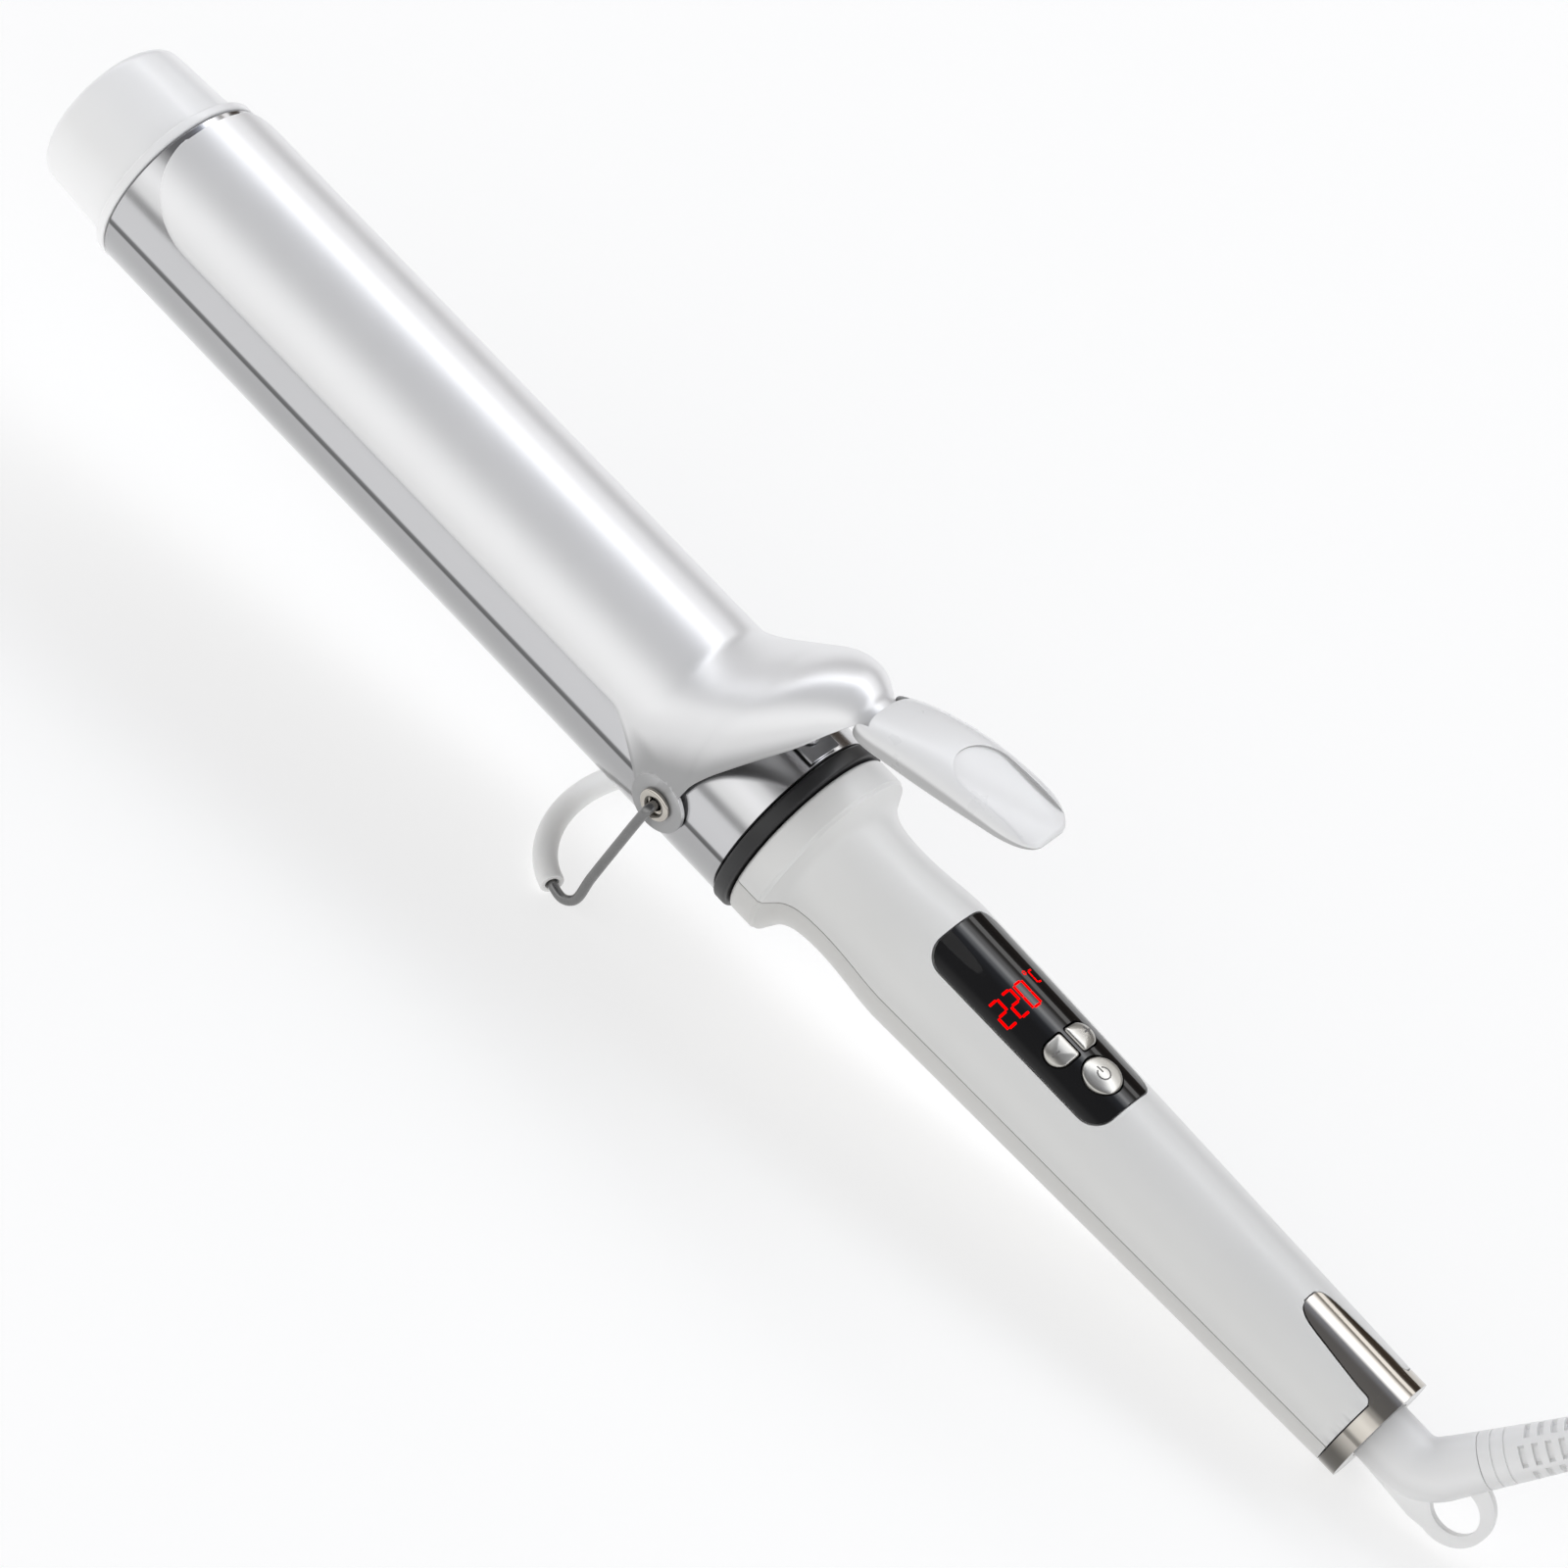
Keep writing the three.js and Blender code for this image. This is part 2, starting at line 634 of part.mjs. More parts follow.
// Folded leaf spring: the lower arm lies on the barrel, the upper arm lifts the lever.
function clampSpring() {
  const half = SPRING_THICKNESS / 2;
  const base = BARREL_RADIUS + GAP + half;
  const bend = 2.1;
  const line = [new THREE.Vector2(-153.4, base), new THREE.Vector2(-168.5, base)];
  const bendSteps = 6;
  const lift = radians(40);
  for (let i = 1; i <= bendSteps; i++) {
    const a = -Math.PI / 2 - (i / bendSteps) * (Math.PI - lift);
    line.push(new THREE.Vector2(-168.5 + bend * Math.cos(a), base + bend + bend * Math.sin(a)));
  }
  line.push(new THREE.Vector2(-160, 31.1), new THREE.Vector2(-153.8, 36.8));
  line.push(new THREE.Vector2(-151.2, 38.2));
  const outer = [];
  const inner = [];
  line.forEach((point, i) => {
    const before = line[Math.max(i - 1, 0)];
    const after = line[Math.min(i + 1, line.length - 1)];
    const normal = after.clone().sub(before).normalize();
    const shift = new THREE.Vector2(-normal.y, normal.x).multiplyScalar(half);
    const across = [-SPRING_WIDTH / 2, SPRING_WIDTH / 2];
    outer.push(across.map((y) => new THREE.Vector3(point.x + shift.x, y, point.y + shift.y)));
    inner.push(across.map((y) => new THREE.Vector3(point.x - shift.x, y, point.y - shift.y)));
  });
  const rivetHole = rodUpright(RIVET_STATION, 0, 1.2 + GAP, 15, 22);
  return carve(shellBetween(outer, inner), { cut: [rivetHole] });
}

function springRivet() {
  const under = BARREL_RADIUS + SPRING_THICKNESS + 2 * GAP;
  return turnedUpright(
    [
      [BARREL_BORE - 0.1, 0],
      [BARREL_BORE - 0.1, 1.2],
      [under, 1.2],
      [under, 2.1],
      [under + 0.5, 2.0],
      [under + 0.9, 1.2],
      [under + 1, 0],
    ],
    RIVET_STATION,
    0,
  );
}

// Hollow eyelet that pins an ear to the barrel's side; side is -1 for near, 1 for far.
function pivotEyelet(side) {
  const headInside = BARREL_RADIUS + 0.35 + SHEET + GAP;
  const flangeOutside = BARREL_BORE - 0.6;
  const eyelet = turned(
    [
      [headInside, EYELET_SHANK],
      [headInside, EYELET_HEAD],
      [headInside + 0.35, EYELET_HEAD],
      [headInside + 0.8, EYELET_HEAD - 0.6],
      [headInside + 0.8, EYELET_BORE + 0.35],
      [headInside + 0.45, EYELET_BORE],
      [flangeOutside - 0.7, EYELET_BORE],
      [flangeOutside - 0.7, 2.7],
      [flangeOutside, 2.7],
      [flangeOutside, EYELET_SHANK],
    ],
    12,
  );
  return eyelet.rotateZ((side * Math.PI) / 2).translate(PIVOT_STATION, 0, 0);
}

// ---------------------------------------------------------------- bench stand

// Angle between the iron's axis and the surface it rests on, from the foot and the tail edge.
function restingAngle() {
  const reach = -FOOT_STATION;
  const drop = FOOT_DROP - SHELL_REAR_RADIUS;
  return Math.atan2(drop, reach) + Math.asin(SLEEVE_RADIUS / Math.hypot(drop, reach));
}

// Middle line of the foot, a half ellipse that lies flat on the surface; t runs 0 to 1.
function footPoint(t) {
  const a = Math.PI * t;
  const tilt = restingAngle();
  return new THREE.Vector3(
    FOOT_STATION - FOOT_BULGE * Math.sin(a) * Math.cos(tilt),
    -LEG_SIDE * Math.cos(a),
    -FOOT_DROP - FOOT_BULGE * Math.sin(a) * Math.sin(tilt),
  );
}

function standWire() {
  const half = [
    new THREE.Vector3(PIVOT_STATION, -17.4, 0),
    new THREE.Vector3(PIVOT_STATION, -21.5, 0),
    new THREE.Vector3(PIVOT_STATION - 0.05, -LEG_SIDE + 0.35, -0.6),
    new THREE.Vector3(PIVOT_STATION - 0.25, -LEG_SIDE, -2.4),
    new THREE.Vector3(PIVOT_STATION - 1.5, -LEG_SIDE, -14),
    new THREE.Vector3(PIVOT_STATION - 2.7, -LEG_SIDE, -26),
    new THREE.Vector3(PIVOT_STATION - 3.4, -LEG_SIDE, -34.2),
    footPoint(0.035),
  ];
  const foot = Array.from({ length: 9 }, (_, i) => footPoint(0.1 + 0.1 * i));
  const mirrored = half.map((p) => new THREE.Vector3(p.x, -p.y, p.z)).reverse();
  const line = new THREE.CatmullRomCurve3([...half, ...foot, ...mirrored], false, "centripetal");
  return swept(line, WIRE_RADIUS, 8, 50);
}

function standSleeve() {
  const points = Array.from({ length: 13 }, (_, i) => footPoint(0.1 + (0.8 * i) / 12));
  const line = new THREE.CatmullRomCurve3(points, false, "centripetal");
  return swept(line, SLEEVE_RADIUS, 10, 14, WIRE_RADIUS + GAP);
}

// ---------------------------------------------------------------- handle

// Both shells as one turned body, from the collar's front face to the tail.
const HANDLE_PROFILE = [
  [COLLAR_FRONT, NECK_BORE],
  [COLLAR_FRONT, COLLAR_RADIUS - 1.1],
  [COLLAR_FRONT + 1.2, COLLAR_RADIUS],
  [-143.1, COLLAR_RADIUS],
  [-142.6, 18.5],
  [-141.7, 17.0],
  [-140.3, 15.05],
  [-138.2, 13.85],
  [-134.6, 13.2],
  [-129.2, 13.1],
  [-123.7, 13.5],
  [-119.6, 13.92],
  [CREASE_STATION, CREASE_RADIUS],
  [SHELL_REAR, SHELL_REAR_RADIUS],
  [SHELL_REAR, SHELL_REAR_RADIUS - SHELL_WALL],
  [-112, handleRadius(-112) - SHELL_WALL],
  [-118.5, NECK_BORE],
];

const FAR = 60; // reach of the cutting blocks beyond the handle

// [station, half angle] rows of a plate with rounded corners; grow widens it all round.
function roundedRows(front, rear, halfAngle, corner, grow) {
  const perDegree = radians(handleRadius((front + rear) / 2));
  const half = halfAngle + grow / perDegree;
  const cornerSteps = 5;
  const edge = (i) => {
    const turn = (i / cornerSteps) * (Math.PI / 2);
    return [corner * (1 - Math.cos(turn)), half - (corner * (1 - Math.sin(turn))) / perDegree];
  };
  const rows = [];
  for (let i = 0; i <= cornerSteps; i++) {
    const [inset, angle] = edge(i);
    rows.push([front - grow + inset, angle]);
  }
  for (let i = cornerSteps; i >= 0; i--) {
    const [inset, angle] = edge(i);
    rows.push([rear + grow - inset, angle]);
  }
  return rows;
}

// Outline of the trim's tongue on top of the handle.
const TONGUE_ROWS = [
  [-24.5, 6],
  [-24.1, 11],
  [-23, 15],
  [-21, 18],
  [-16, 21],
  [-8, 25],
  [-5.2, 25.6],
  [-4.4, 27.5],
  [-3.9, 31],
  [-3.2, 31],
];
const TONGUE_THICKNESS = 0.8;

const SHELL_SCREW_STATIONS = [-54, -29];
const BOARD_POST_STATIONS = [-109.6, -69.4];

function handleUpperShell() {
  const below = block(-170, 10, -FAR, FAR, -FAR, SPLIT);
  const pocket = saddle(
    roundedRows(LENS_FRONT, LENS_REAR, LENS_HALF_ANGLE, LENS_CORNER, GAP),
    2,
    -LENS_THICKNESS - GAP,
  );
  const window = saddle(roundedRows(LENS_FRONT + 2, LENS_REAR - 1.4, 33.5, 3, 0), 3, -4);
  const tonguePocket = saddle(
    TONGUE_ROWS.map(([station, half], i) => [i === 0 ? station - GAP : station, half + 1.6]),
    2,
    -TONGUE_THICKNESS - GAP,
  );
  const bosses = SHELL_SCREW_STATIONS.map((x) =>
    rodUpright(x, 0, 2.8, SPLIT, handleRadius(x) - SHELL_WALL + 0.6),
  );
  const bores = SHELL_SCREW_STATIONS.map((x) => rodUpright(x, 0, 1.3, -1, 8.5));
  const shell = carve(turned(HANDLE_PROFILE), { cut: [below] });
  return carve(shell, { join: bosses, cut: [pocket, window, tonguePocket, ...bores] });
}

function handleLowerShell() {
  const above = block(-170, 10, -FAR, FAR, -SPLIT, FAR);
  const floor = (x) => -handleRadius(x) + SHELL_WALL - 0.6;
  const bosses = SHELL_SCREW_STATIONS.map((x) => rodUpright(x, 0, 3.5, floor(x), -SPLIT));
  const bores = SHELL_SCREW_STATIONS.map((x) => rodUpright(x, 0, 1.4, -20, 1));
  const wells = SHELL_SCREW_STATIONS.map((x) => rodUpright(x, 0, 2.5, -20, -8.2));
  const postTop = BOARD_TOP - BOARD_THICKNESS - GAP;
  const posts = BOARD_POST_STATIONS.map((x) => rodUpright(x, 0, 2.2, floor(x), postTop));
  const postBores = BOARD_POST_STATIONS.map((x) => rodUpright(x, 0, 1.1, -3, 9));
  const shell = carve(turned(HANDLE_PROFILE), { cut: [above] });
  return carve(shell, {
    join: [...bosses, ...posts],
    cut: [...bores, ...wells, ...postBores],
  });
}

function shellScrew(station) {
  return turnedUpright(
    [
      [-10.1, 0],
      [-10.1, 2.0],
      [-8.5, 2.0],
      [-8.5, 1.0],
      [8, 1.0],
      [8, 0],
    ],
    station,
    0,
    16,
  );
}

// D-shaped key, flat on the side that faces its neighbour, drawn in (station, across).
function keyShape(side, grow) {
  const half = 2.7 + grow;
  const flat = -side * (2.85 + grow);
  const round = side * 0.15;
  const shape = new THREE.Shape();
  shape.moveTo(-half, flat);
  shape.lineTo(half, flat);
  shape.lineTo(half, round);
  shape.absarc(0, round, half, 0, side * Math.PI, side < 0);
  shape.closePath();
  return shape;
}

// A button's body, standing straight out of the handle at the given angle from the top.
function buttonBody(shape, station, angle, bottom, top, bevel) {
  const options = bevel
    ? { bevelThickness: 0.45, bevelSize: 0.6, bevelOffset: -0.6, bevelSegments: 2 }
    : { bevelEnabled: false };
  const inset = bevel ? 0.45 : 0;
  const depth = top - bottom - 2 * inset;
  return new THREE.ExtrudeGeometry(shape, { depth, curveSegments: 8, ...options })
    .translate(0, 0, bottom + inset)
    .rotateX(radians(-angle))
    .translate(station, 0, 0);
}

function powerShape(grow) {
  return circleShape(POWER_RADIUS + grow, 24);
}

function keyButton(side) {
  const top = handleRadius(KEY_STATION) + BUTTON_RISE;
  return buttonBody(keyShape(side, 0), KEY_STATION, side * KEY_ANGLE, BUTTON_BOTTOM, top, true);
}

function powerButton() {
  const top = handleRadius(POWER_STATION) + BUTTON_RISE;
  return buttonBody(powerShape(0), POWER_STATION, 0, BUTTON_BOTTOM, top, true);
}

function displayLens() {
  const plate = saddle(
    roundedRows(LENS_FRONT, LENS_REAR, LENS_HALF_ANGLE, LENS_CORNER, 0),
    0,
    -LENS_THICKNESS,
    10,
  );
  const holes = [
    buttonBody(keyShape(-1, GAP), KEY_STATION, -KEY_ANGLE, 8, 18, false),
    buttonBody(keyShape(1, GAP), KEY_STATION, KEY_ANGLE, 8, 18, false),
    buttonBody(powerShape(GAP), POWER_STATION, 0, 8, 18, false),
  ];
  return carve(plate, { cut: holes });
}

function controlBoard() {
  const board = block(-112.5, -66, -8.4, 8.4, BOARD_TOP - BOARD_THICKNESS, BOARD_TOP);
  const holes = BOARD_POST_STATIONS.map((x) => rodUpright(x, 0, 1.1, 0, 10));
  return carve(board, { cut: holes });
}

function boardScrew(station) {
  const seat = BOARD_TOP + GAP;
  return turnedUpright(
    [
      [-2.6, 0],
      [-2.6, 0.8],
      [seat, 0.8],
      [seat, 1.9],
      [seat + 1.1, 1.9],
      [seat + 1.1, 0],
    ],
    station,
    0,
    16,
  );
}

// Tactile switch: a square case with a short round plunger.
function tactSwitch(station, across, half, caseTop, plungerTop) {
  const seat = BOARD_TOP + GAP;
  const body = block(station - half, station + half, across - half, across + half, seat, caseTop);
  const plunger = rodUpright(station, across, half / 2, seat + 0.2, plungerTop, 16);
  return carve(body, { join: [plunger] });
}

function ledDisplay() {
  return block(-104.5, -91.5, -6, 6, BOARD_TOP + GAP, 9.9);
}

// Three-legged power switch that feeds the heater, flat under the board.
function triac() {
  const body = block(-95, -84, -4.6, 4.6, 0.6, 4.4);
  const tab = block(-84.2, -79.5, -4.6, 4.6, 0.6, 1.9);
  return carve(body, { join: [tab] });
}

function filmCapacitor() {
  return block(-106, -98, -5.5, 5.5, -2.4, 4.4);
}

// ---------------------------------------------------------------- tail and swivel

function tailTrim() {
  const front = SHELL_REAR + GAP;
  const ring = turned([
    [front, SHELL_REAR_RADIUS - SHELL_WALL],
    [front, SHELL_REAR_RADIUS],
    [0, SHELL_REAR_RADIUS],
    [0, ELBOW_RADIUS + 0.4],
    [-1.6, ELBOW_RADIUS + 0.4],
    [-1.6, SHELL_REAR_RADIUS - SHELL_WALL],
  ]);
  return carve(ring, { join: [saddle(TONGUE_ROWS, 0, -TONGUE_THICKNESS)] });
}

function swivelBush() {
  return turned(
    [
      [-13.5, ELBOW_RADIUS + 0.35],
      [-13.5, 9],
      [SHELL_REAR - 0.4, 9],
      [SHELL_REAR - 0.4, ELBOW_RADIUS + 0.35],
    ],
    36,
  );
}

const STUB_RADIUS = 5;

function stubRing(front, rear, radius) {
  return turned(
    [
      [front, STUB_RADIUS + GAP],
      [front, radius],
      [rear, radius],
      [rear, STUB_RADIUS + GAP],
    ],
    28,
  );
}

function brushBlock() {
  return block(-23.4, -16.8, -3.4, 3.4, -8.6, -6.7);
}

// The elbow's middle line lies in the plane of X and "lean": [station, offset, heading].
function elbowLine(distance) {
  const bend = radians(ELBOW_BEND);
  const arcLength = ELBOW_BEND_RADIUS * bend;
  if (distance <= ELBOW_STRAIGHT) return { station: distance, offset: 0, heading: 0 };
  const turn = Math.min((distance - ELBOW_STRAIGHT) / ELBOW_BEND_RADIUS, bend);
  const beyond = Math.max(distance - ELBOW_STRAIGHT - arcLength, 0);
  return {
    station: ELBOW_STRAIGHT + ELBOW_BEND_RADIUS * Math.sin(turn) + beyond * Math.cos(turn),
    offset: ELBOW_BEND_RADIUS * (1 - Math.cos(turn)) + beyond * Math.sin(turn),
    heading: turn,
  };
}

const BEND_END = ELBOW_STRAIGHT + ELBOW_BEND_RADIUS * radians(ELBOW_BEND);
const ELBOW_END = BEND_END + ELBOW_TAIL;
const RELIEF_START = ELBOW_END + GAP;
const RELIEF_END = RELIEF_START + RELIEF_LENGTH;

// A ring round the elbow's middle line, upright in the plane of X and Z.
function elbowRing(distance, radius, sides) {
  const { station, offset, heading } = elbowLine(distance);
  return Array.from({ length: sides }, (_, i) => {
    const a = (i * 2 * Math.PI) / sides;
    const inPlane = radius * Math.cos(a);
    return new THREE.Vector3(
      station - inPlane * Math.sin(heading),
      radius * Math.sin(a),
      offset + inPlane * Math.cos(heading),
    );
  });
}

// Radius of the moulding along the elbow: full at the tail, then a slow taper.
function elbowRadius(distance) {
  const taper = THREE.MathUtils.clamp((distance - ELBOW_STRAIGHT) / (ELBOW_END - ELBOW_STRAIGHT), 0, 1);
  return THREE.MathUtils.lerp(ELBOW_RADIUS, RELIEF_START_RADIUS, taper);
}

// Hanging loop: a flat plate that grows out of the elbow's underside.
function hangLoop() {
  const outline = new THREE.Shape();
  outline.moveTo(1.2, -ELBOW_RADIUS + 0.1);
  outline.lineTo(14, -6.9);
  outline.absellipse(18.6, 0.3, 7.5, 6.9, radians(-100), radians(75), false, 0);
  outline.lineTo(16, 5.5);
  outline.lineTo(4, 0);
  outline.closePath();
  const hole = new THREE.Path();
  hole.absellipse(19.1, 0, 4.9, 4, 0, 2 * Math.PI, false, 0);
  outline.holes.push(hole);
  return new THREE.ExtrudeGeometry(outline, {
    depth: LOOP_THICKNESS,
    bevelEnabled: false,
    curveSegments: 14,
  })
    .translate(0, 0, -LOOP_THICKNESS / 2)
    .rotateX(Math.PI / 2);
}

function leanOver(geometry) {
  return geometry.rotateX(radians(-SWIVEL_LEAN));
}

function cordElbow() {
  const stub = turned(
    [
      [-24.2, 0],
      [-24.2, STUB_RADIUS],
      [-13, STUB_RADIUS],
      [-13, ELBOW_RADIUS],
      [1, ELBOW_RADIUS],
      [1, 0],
    ],
    28,
  );
  const steps = 7;
  const rings = Array.from({ length: steps + 1 }, (_, i) => {
    const distance = THREE.MathUtils.lerp(0.5, ELBOW_END, i / steps);
    return elbowRing(distance, elbowRadius(distance), 20);
  });
  return leanOver(carve(loft(rings), { join: [stub, hangLoop()] }));
}

const RELIEF_RIBS = 6;
const RIB_PITCH = 5;
const GROOVE = 1.6; // width of the grooves between the ribs
const GROOVE_DEPTH = 0.6;

function reliefRadius(distance) {
  const along = (distance - RELIEF_START) / RELIEF_LENGTH;
  return THREE.MathUtils.lerp(RELIEF_START_RADIUS, RELIEF_END_RADIUS, along);
}

function strainRelief() {
  const sides = 12;
  const rings = [elbowRing(RELIEF_START, reliefRadius(RELIEF_START), sides)];
  for (let i = 0; i < RELIEF_RIBS; i++) {
    const start = RELIEF_START + 1.6 + i * RIB_PITCH;
    const ring = (distance, depth) => elbowRing(distance, reliefRadius(distance) - depth, sides);
    rings.push(ring(start, 0), ring(start + 0.15, GROOVE_DEPTH));
    rings.push(ring(start + GROOVE - 0.15, GROOVE_DEPTH), ring(start + GROOVE, 0));
  }
  rings.push(elbowRing(RELIEF_END, reliefRadius(RELIEF_END), sides));
  return leanOver(loft(rings));
}

// ---------------------------------------------------------------- wiring inside

function heaterLead(side) {
  const line = new THREE.CatmullRomCurve3([
    new THREE.Vector3(HEATER_REAR + 1, side * 5, 0),
    new THREE.Vector3(-168, side * 5, 0.5),
    new THREE.Vector3(-150, side * 5, 0.5),
    new THREE.Vector3(-124, side * 5.2, 0),
    new THREE.Vector3(-114, side * 6.6, -1),
    new THREE.Vector3(-100, side * 7.4, 0.5),
    new THREE.Vector3(-92, side * 7, 3),
  ]);
  return swept(line, 0.9, 6, 16);
}

// ---------------------------------------------------------------- mains cord, laid for storage

function cordAlong(route, steps) {
  const line = new THREE.CatmullRomCurve3(route.map((point) => new THREE.Vector3(...point)));
  return swept(line, CORD_RADIUS, CORD_SIDES, steps);
}

// From the strain relief over a low arch and down on to the far side of the hank.
function cordTube() {
  const route = [
    [189.1, 21.0, 39.3],
    [194.0, 24.6, 44.2],
    [200.3, 28.6, 48.6],
    [207.8, 32.4, 51.4],
    [216.2, 35.5, 51.8],
    [224.6, 37.6, 49.6],
    [232.6, 38.7, 45.4],
    [240.3, 38.9, 39.9],
    [247.9, 38.4, 34.0],
    [255.8, 37.3, 28.6],
    [264.4, 35.9, 24.9],
    [273.5, 35.0, 23.6],
    [283.0, 34.8, 23.6],
  ];
  return cordAlong(route, 14);
}

// Round the hank's outer end, on top of it, and into the plug.
function cordTail() {
  const route = [
    [301.5, 28.7, 23.6],
    [307.3, 26.7, 23.6],
    [312.3, 22.9, 23.7],
    [315.9, 17.8, 24.0],
    [317.7, 11.9, 24.5],
    [317.6, 5.6, 25.1],
    [315.6, -0.2, 25.8],
    [311.8, -5.2, 26.4],
    [306.7, -8.8, 26.9],
    [300.8, -10.6, 27.1],
    [292.5, -10.75, 27.15],
  ];
  return cordAlong(route, 10);
}

// Outer shape of the folded cord, two strands wide and three high along each side.
function cordHank() {
  const outline = new THREE.Shape();
  outline.absarc(HANK_RIGHT, HANK_Y, HANK_HALF_WIDTH, -Math.PI / 2, Math.PI / 2, false);
  outline.absarc(HANK_LEFT, HANK_Y, HANK_HALF_WIDTH, Math.PI / 2, (3 * Math.PI) / 2, false);
  outline.closePath();
  return new THREE.ExtrudeGeometry(outline, {
    depth: HANK_TOP - HANK_BOTTOM,
    bevelEnabled: false,
    curveSegments: 18,
  }).translate(0, 0, HANK_BOTTOM);
}

// Strap round the hank.
function cordTie() {
  const band = (grow, beyond) => {
    const half = HANK_HALF_WIDTH + grow;
    const [front, back] = [TIE_START - beyond, TIE_START + TIE_WIDTH + beyond];
    return block(front, back, HANK_Y - half, HANK_Y + half, HANK_BOTTOM - grow, HANK_TOP + grow);
  };
  return carve(band(GAP + TIE_THICKNESS, 0), { cut: [band(GAP, 1)] });
}

// Moulded flat two-pin plug with its own tapered boot. It is drawn with its pin face at the
// origin and its cord end along +Y, then turned by its group.
function plugBody() {
  const shoulder = 8;
  const neck = 27;
  const bevel = 1.6;
  const outline = new THREE.Shape();
  outline.moveTo(-PLUG_HALF_WIDTH + bevel, bevel);
  outline.lineTo(PLUG_HALF_WIDTH - bevel, bevel);
  outline.lineTo(PLUG_HALF_WIDTH - bevel, shoulder);
  outline.lineTo(5, neck);
  outline.lineTo(-5, neck);
  outline.lineTo(-PLUG_HALF_WIDTH + bevel, shoulder);
  outline.closePath();
  const slab = new THREE.ExtrudeGeometry(outline, {
    depth: PLUG_THICKNESS - 2 * bevel,
    bevelThickness: bevel,
    bevelSize: bevel,
    bevelSegments: 3,
  });
  slab.translate(0, 0, bevel - PLUG_THICKNESS / 2);
  const bootLength = PLUG_LENGTH - neck + 4;
  const boot = new THREE.CylinderGeometry(4.3, 6.3, bootLength, SMALL_SIDES);
  boot.translate(0, PLUG_LENGTH - bootLength / 2, 0);
  const sockets = [-1, 1].map((side) => {
    const socket = new THREE.CylinderGeometry(PIN_RADIUS + GAP, PIN_RADIUS + GAP, 11, SMALL_SIDES);
    return socket.translate((side * PIN_SPACING) / 2, 4.5, 0);
  });
  return carve(slab, { join: [boot], cut: sockets });
}

// Round pin with a domed tip, seated in the plug's body.
function plugPin(side) {
  const seated = 9;
  const profile = [
    [0, 0],
    [1.2, 0],
    [1.8, 0.5],
    [PIN_RADIUS, 1.4],
    [PIN_RADIUS, PIN_LENGTH + seated],
    [0, PIN_LENGTH + seated],
  ].map((corner) => new THREE.Vector2(...corner));
  const pin = new THREE.LatheGeometry(profile, SMALL_SIDES);
  return pin.translate((side * PIN_SPACING) / 2, -PIN_LENGTH, 0);
}

// ---------------------------------------------------------------- assembly

function named(name, geometry, material) {
  const mesh = new THREE.Mesh(clean(geometry), material);
  mesh.name = name;
  return mesh;
}

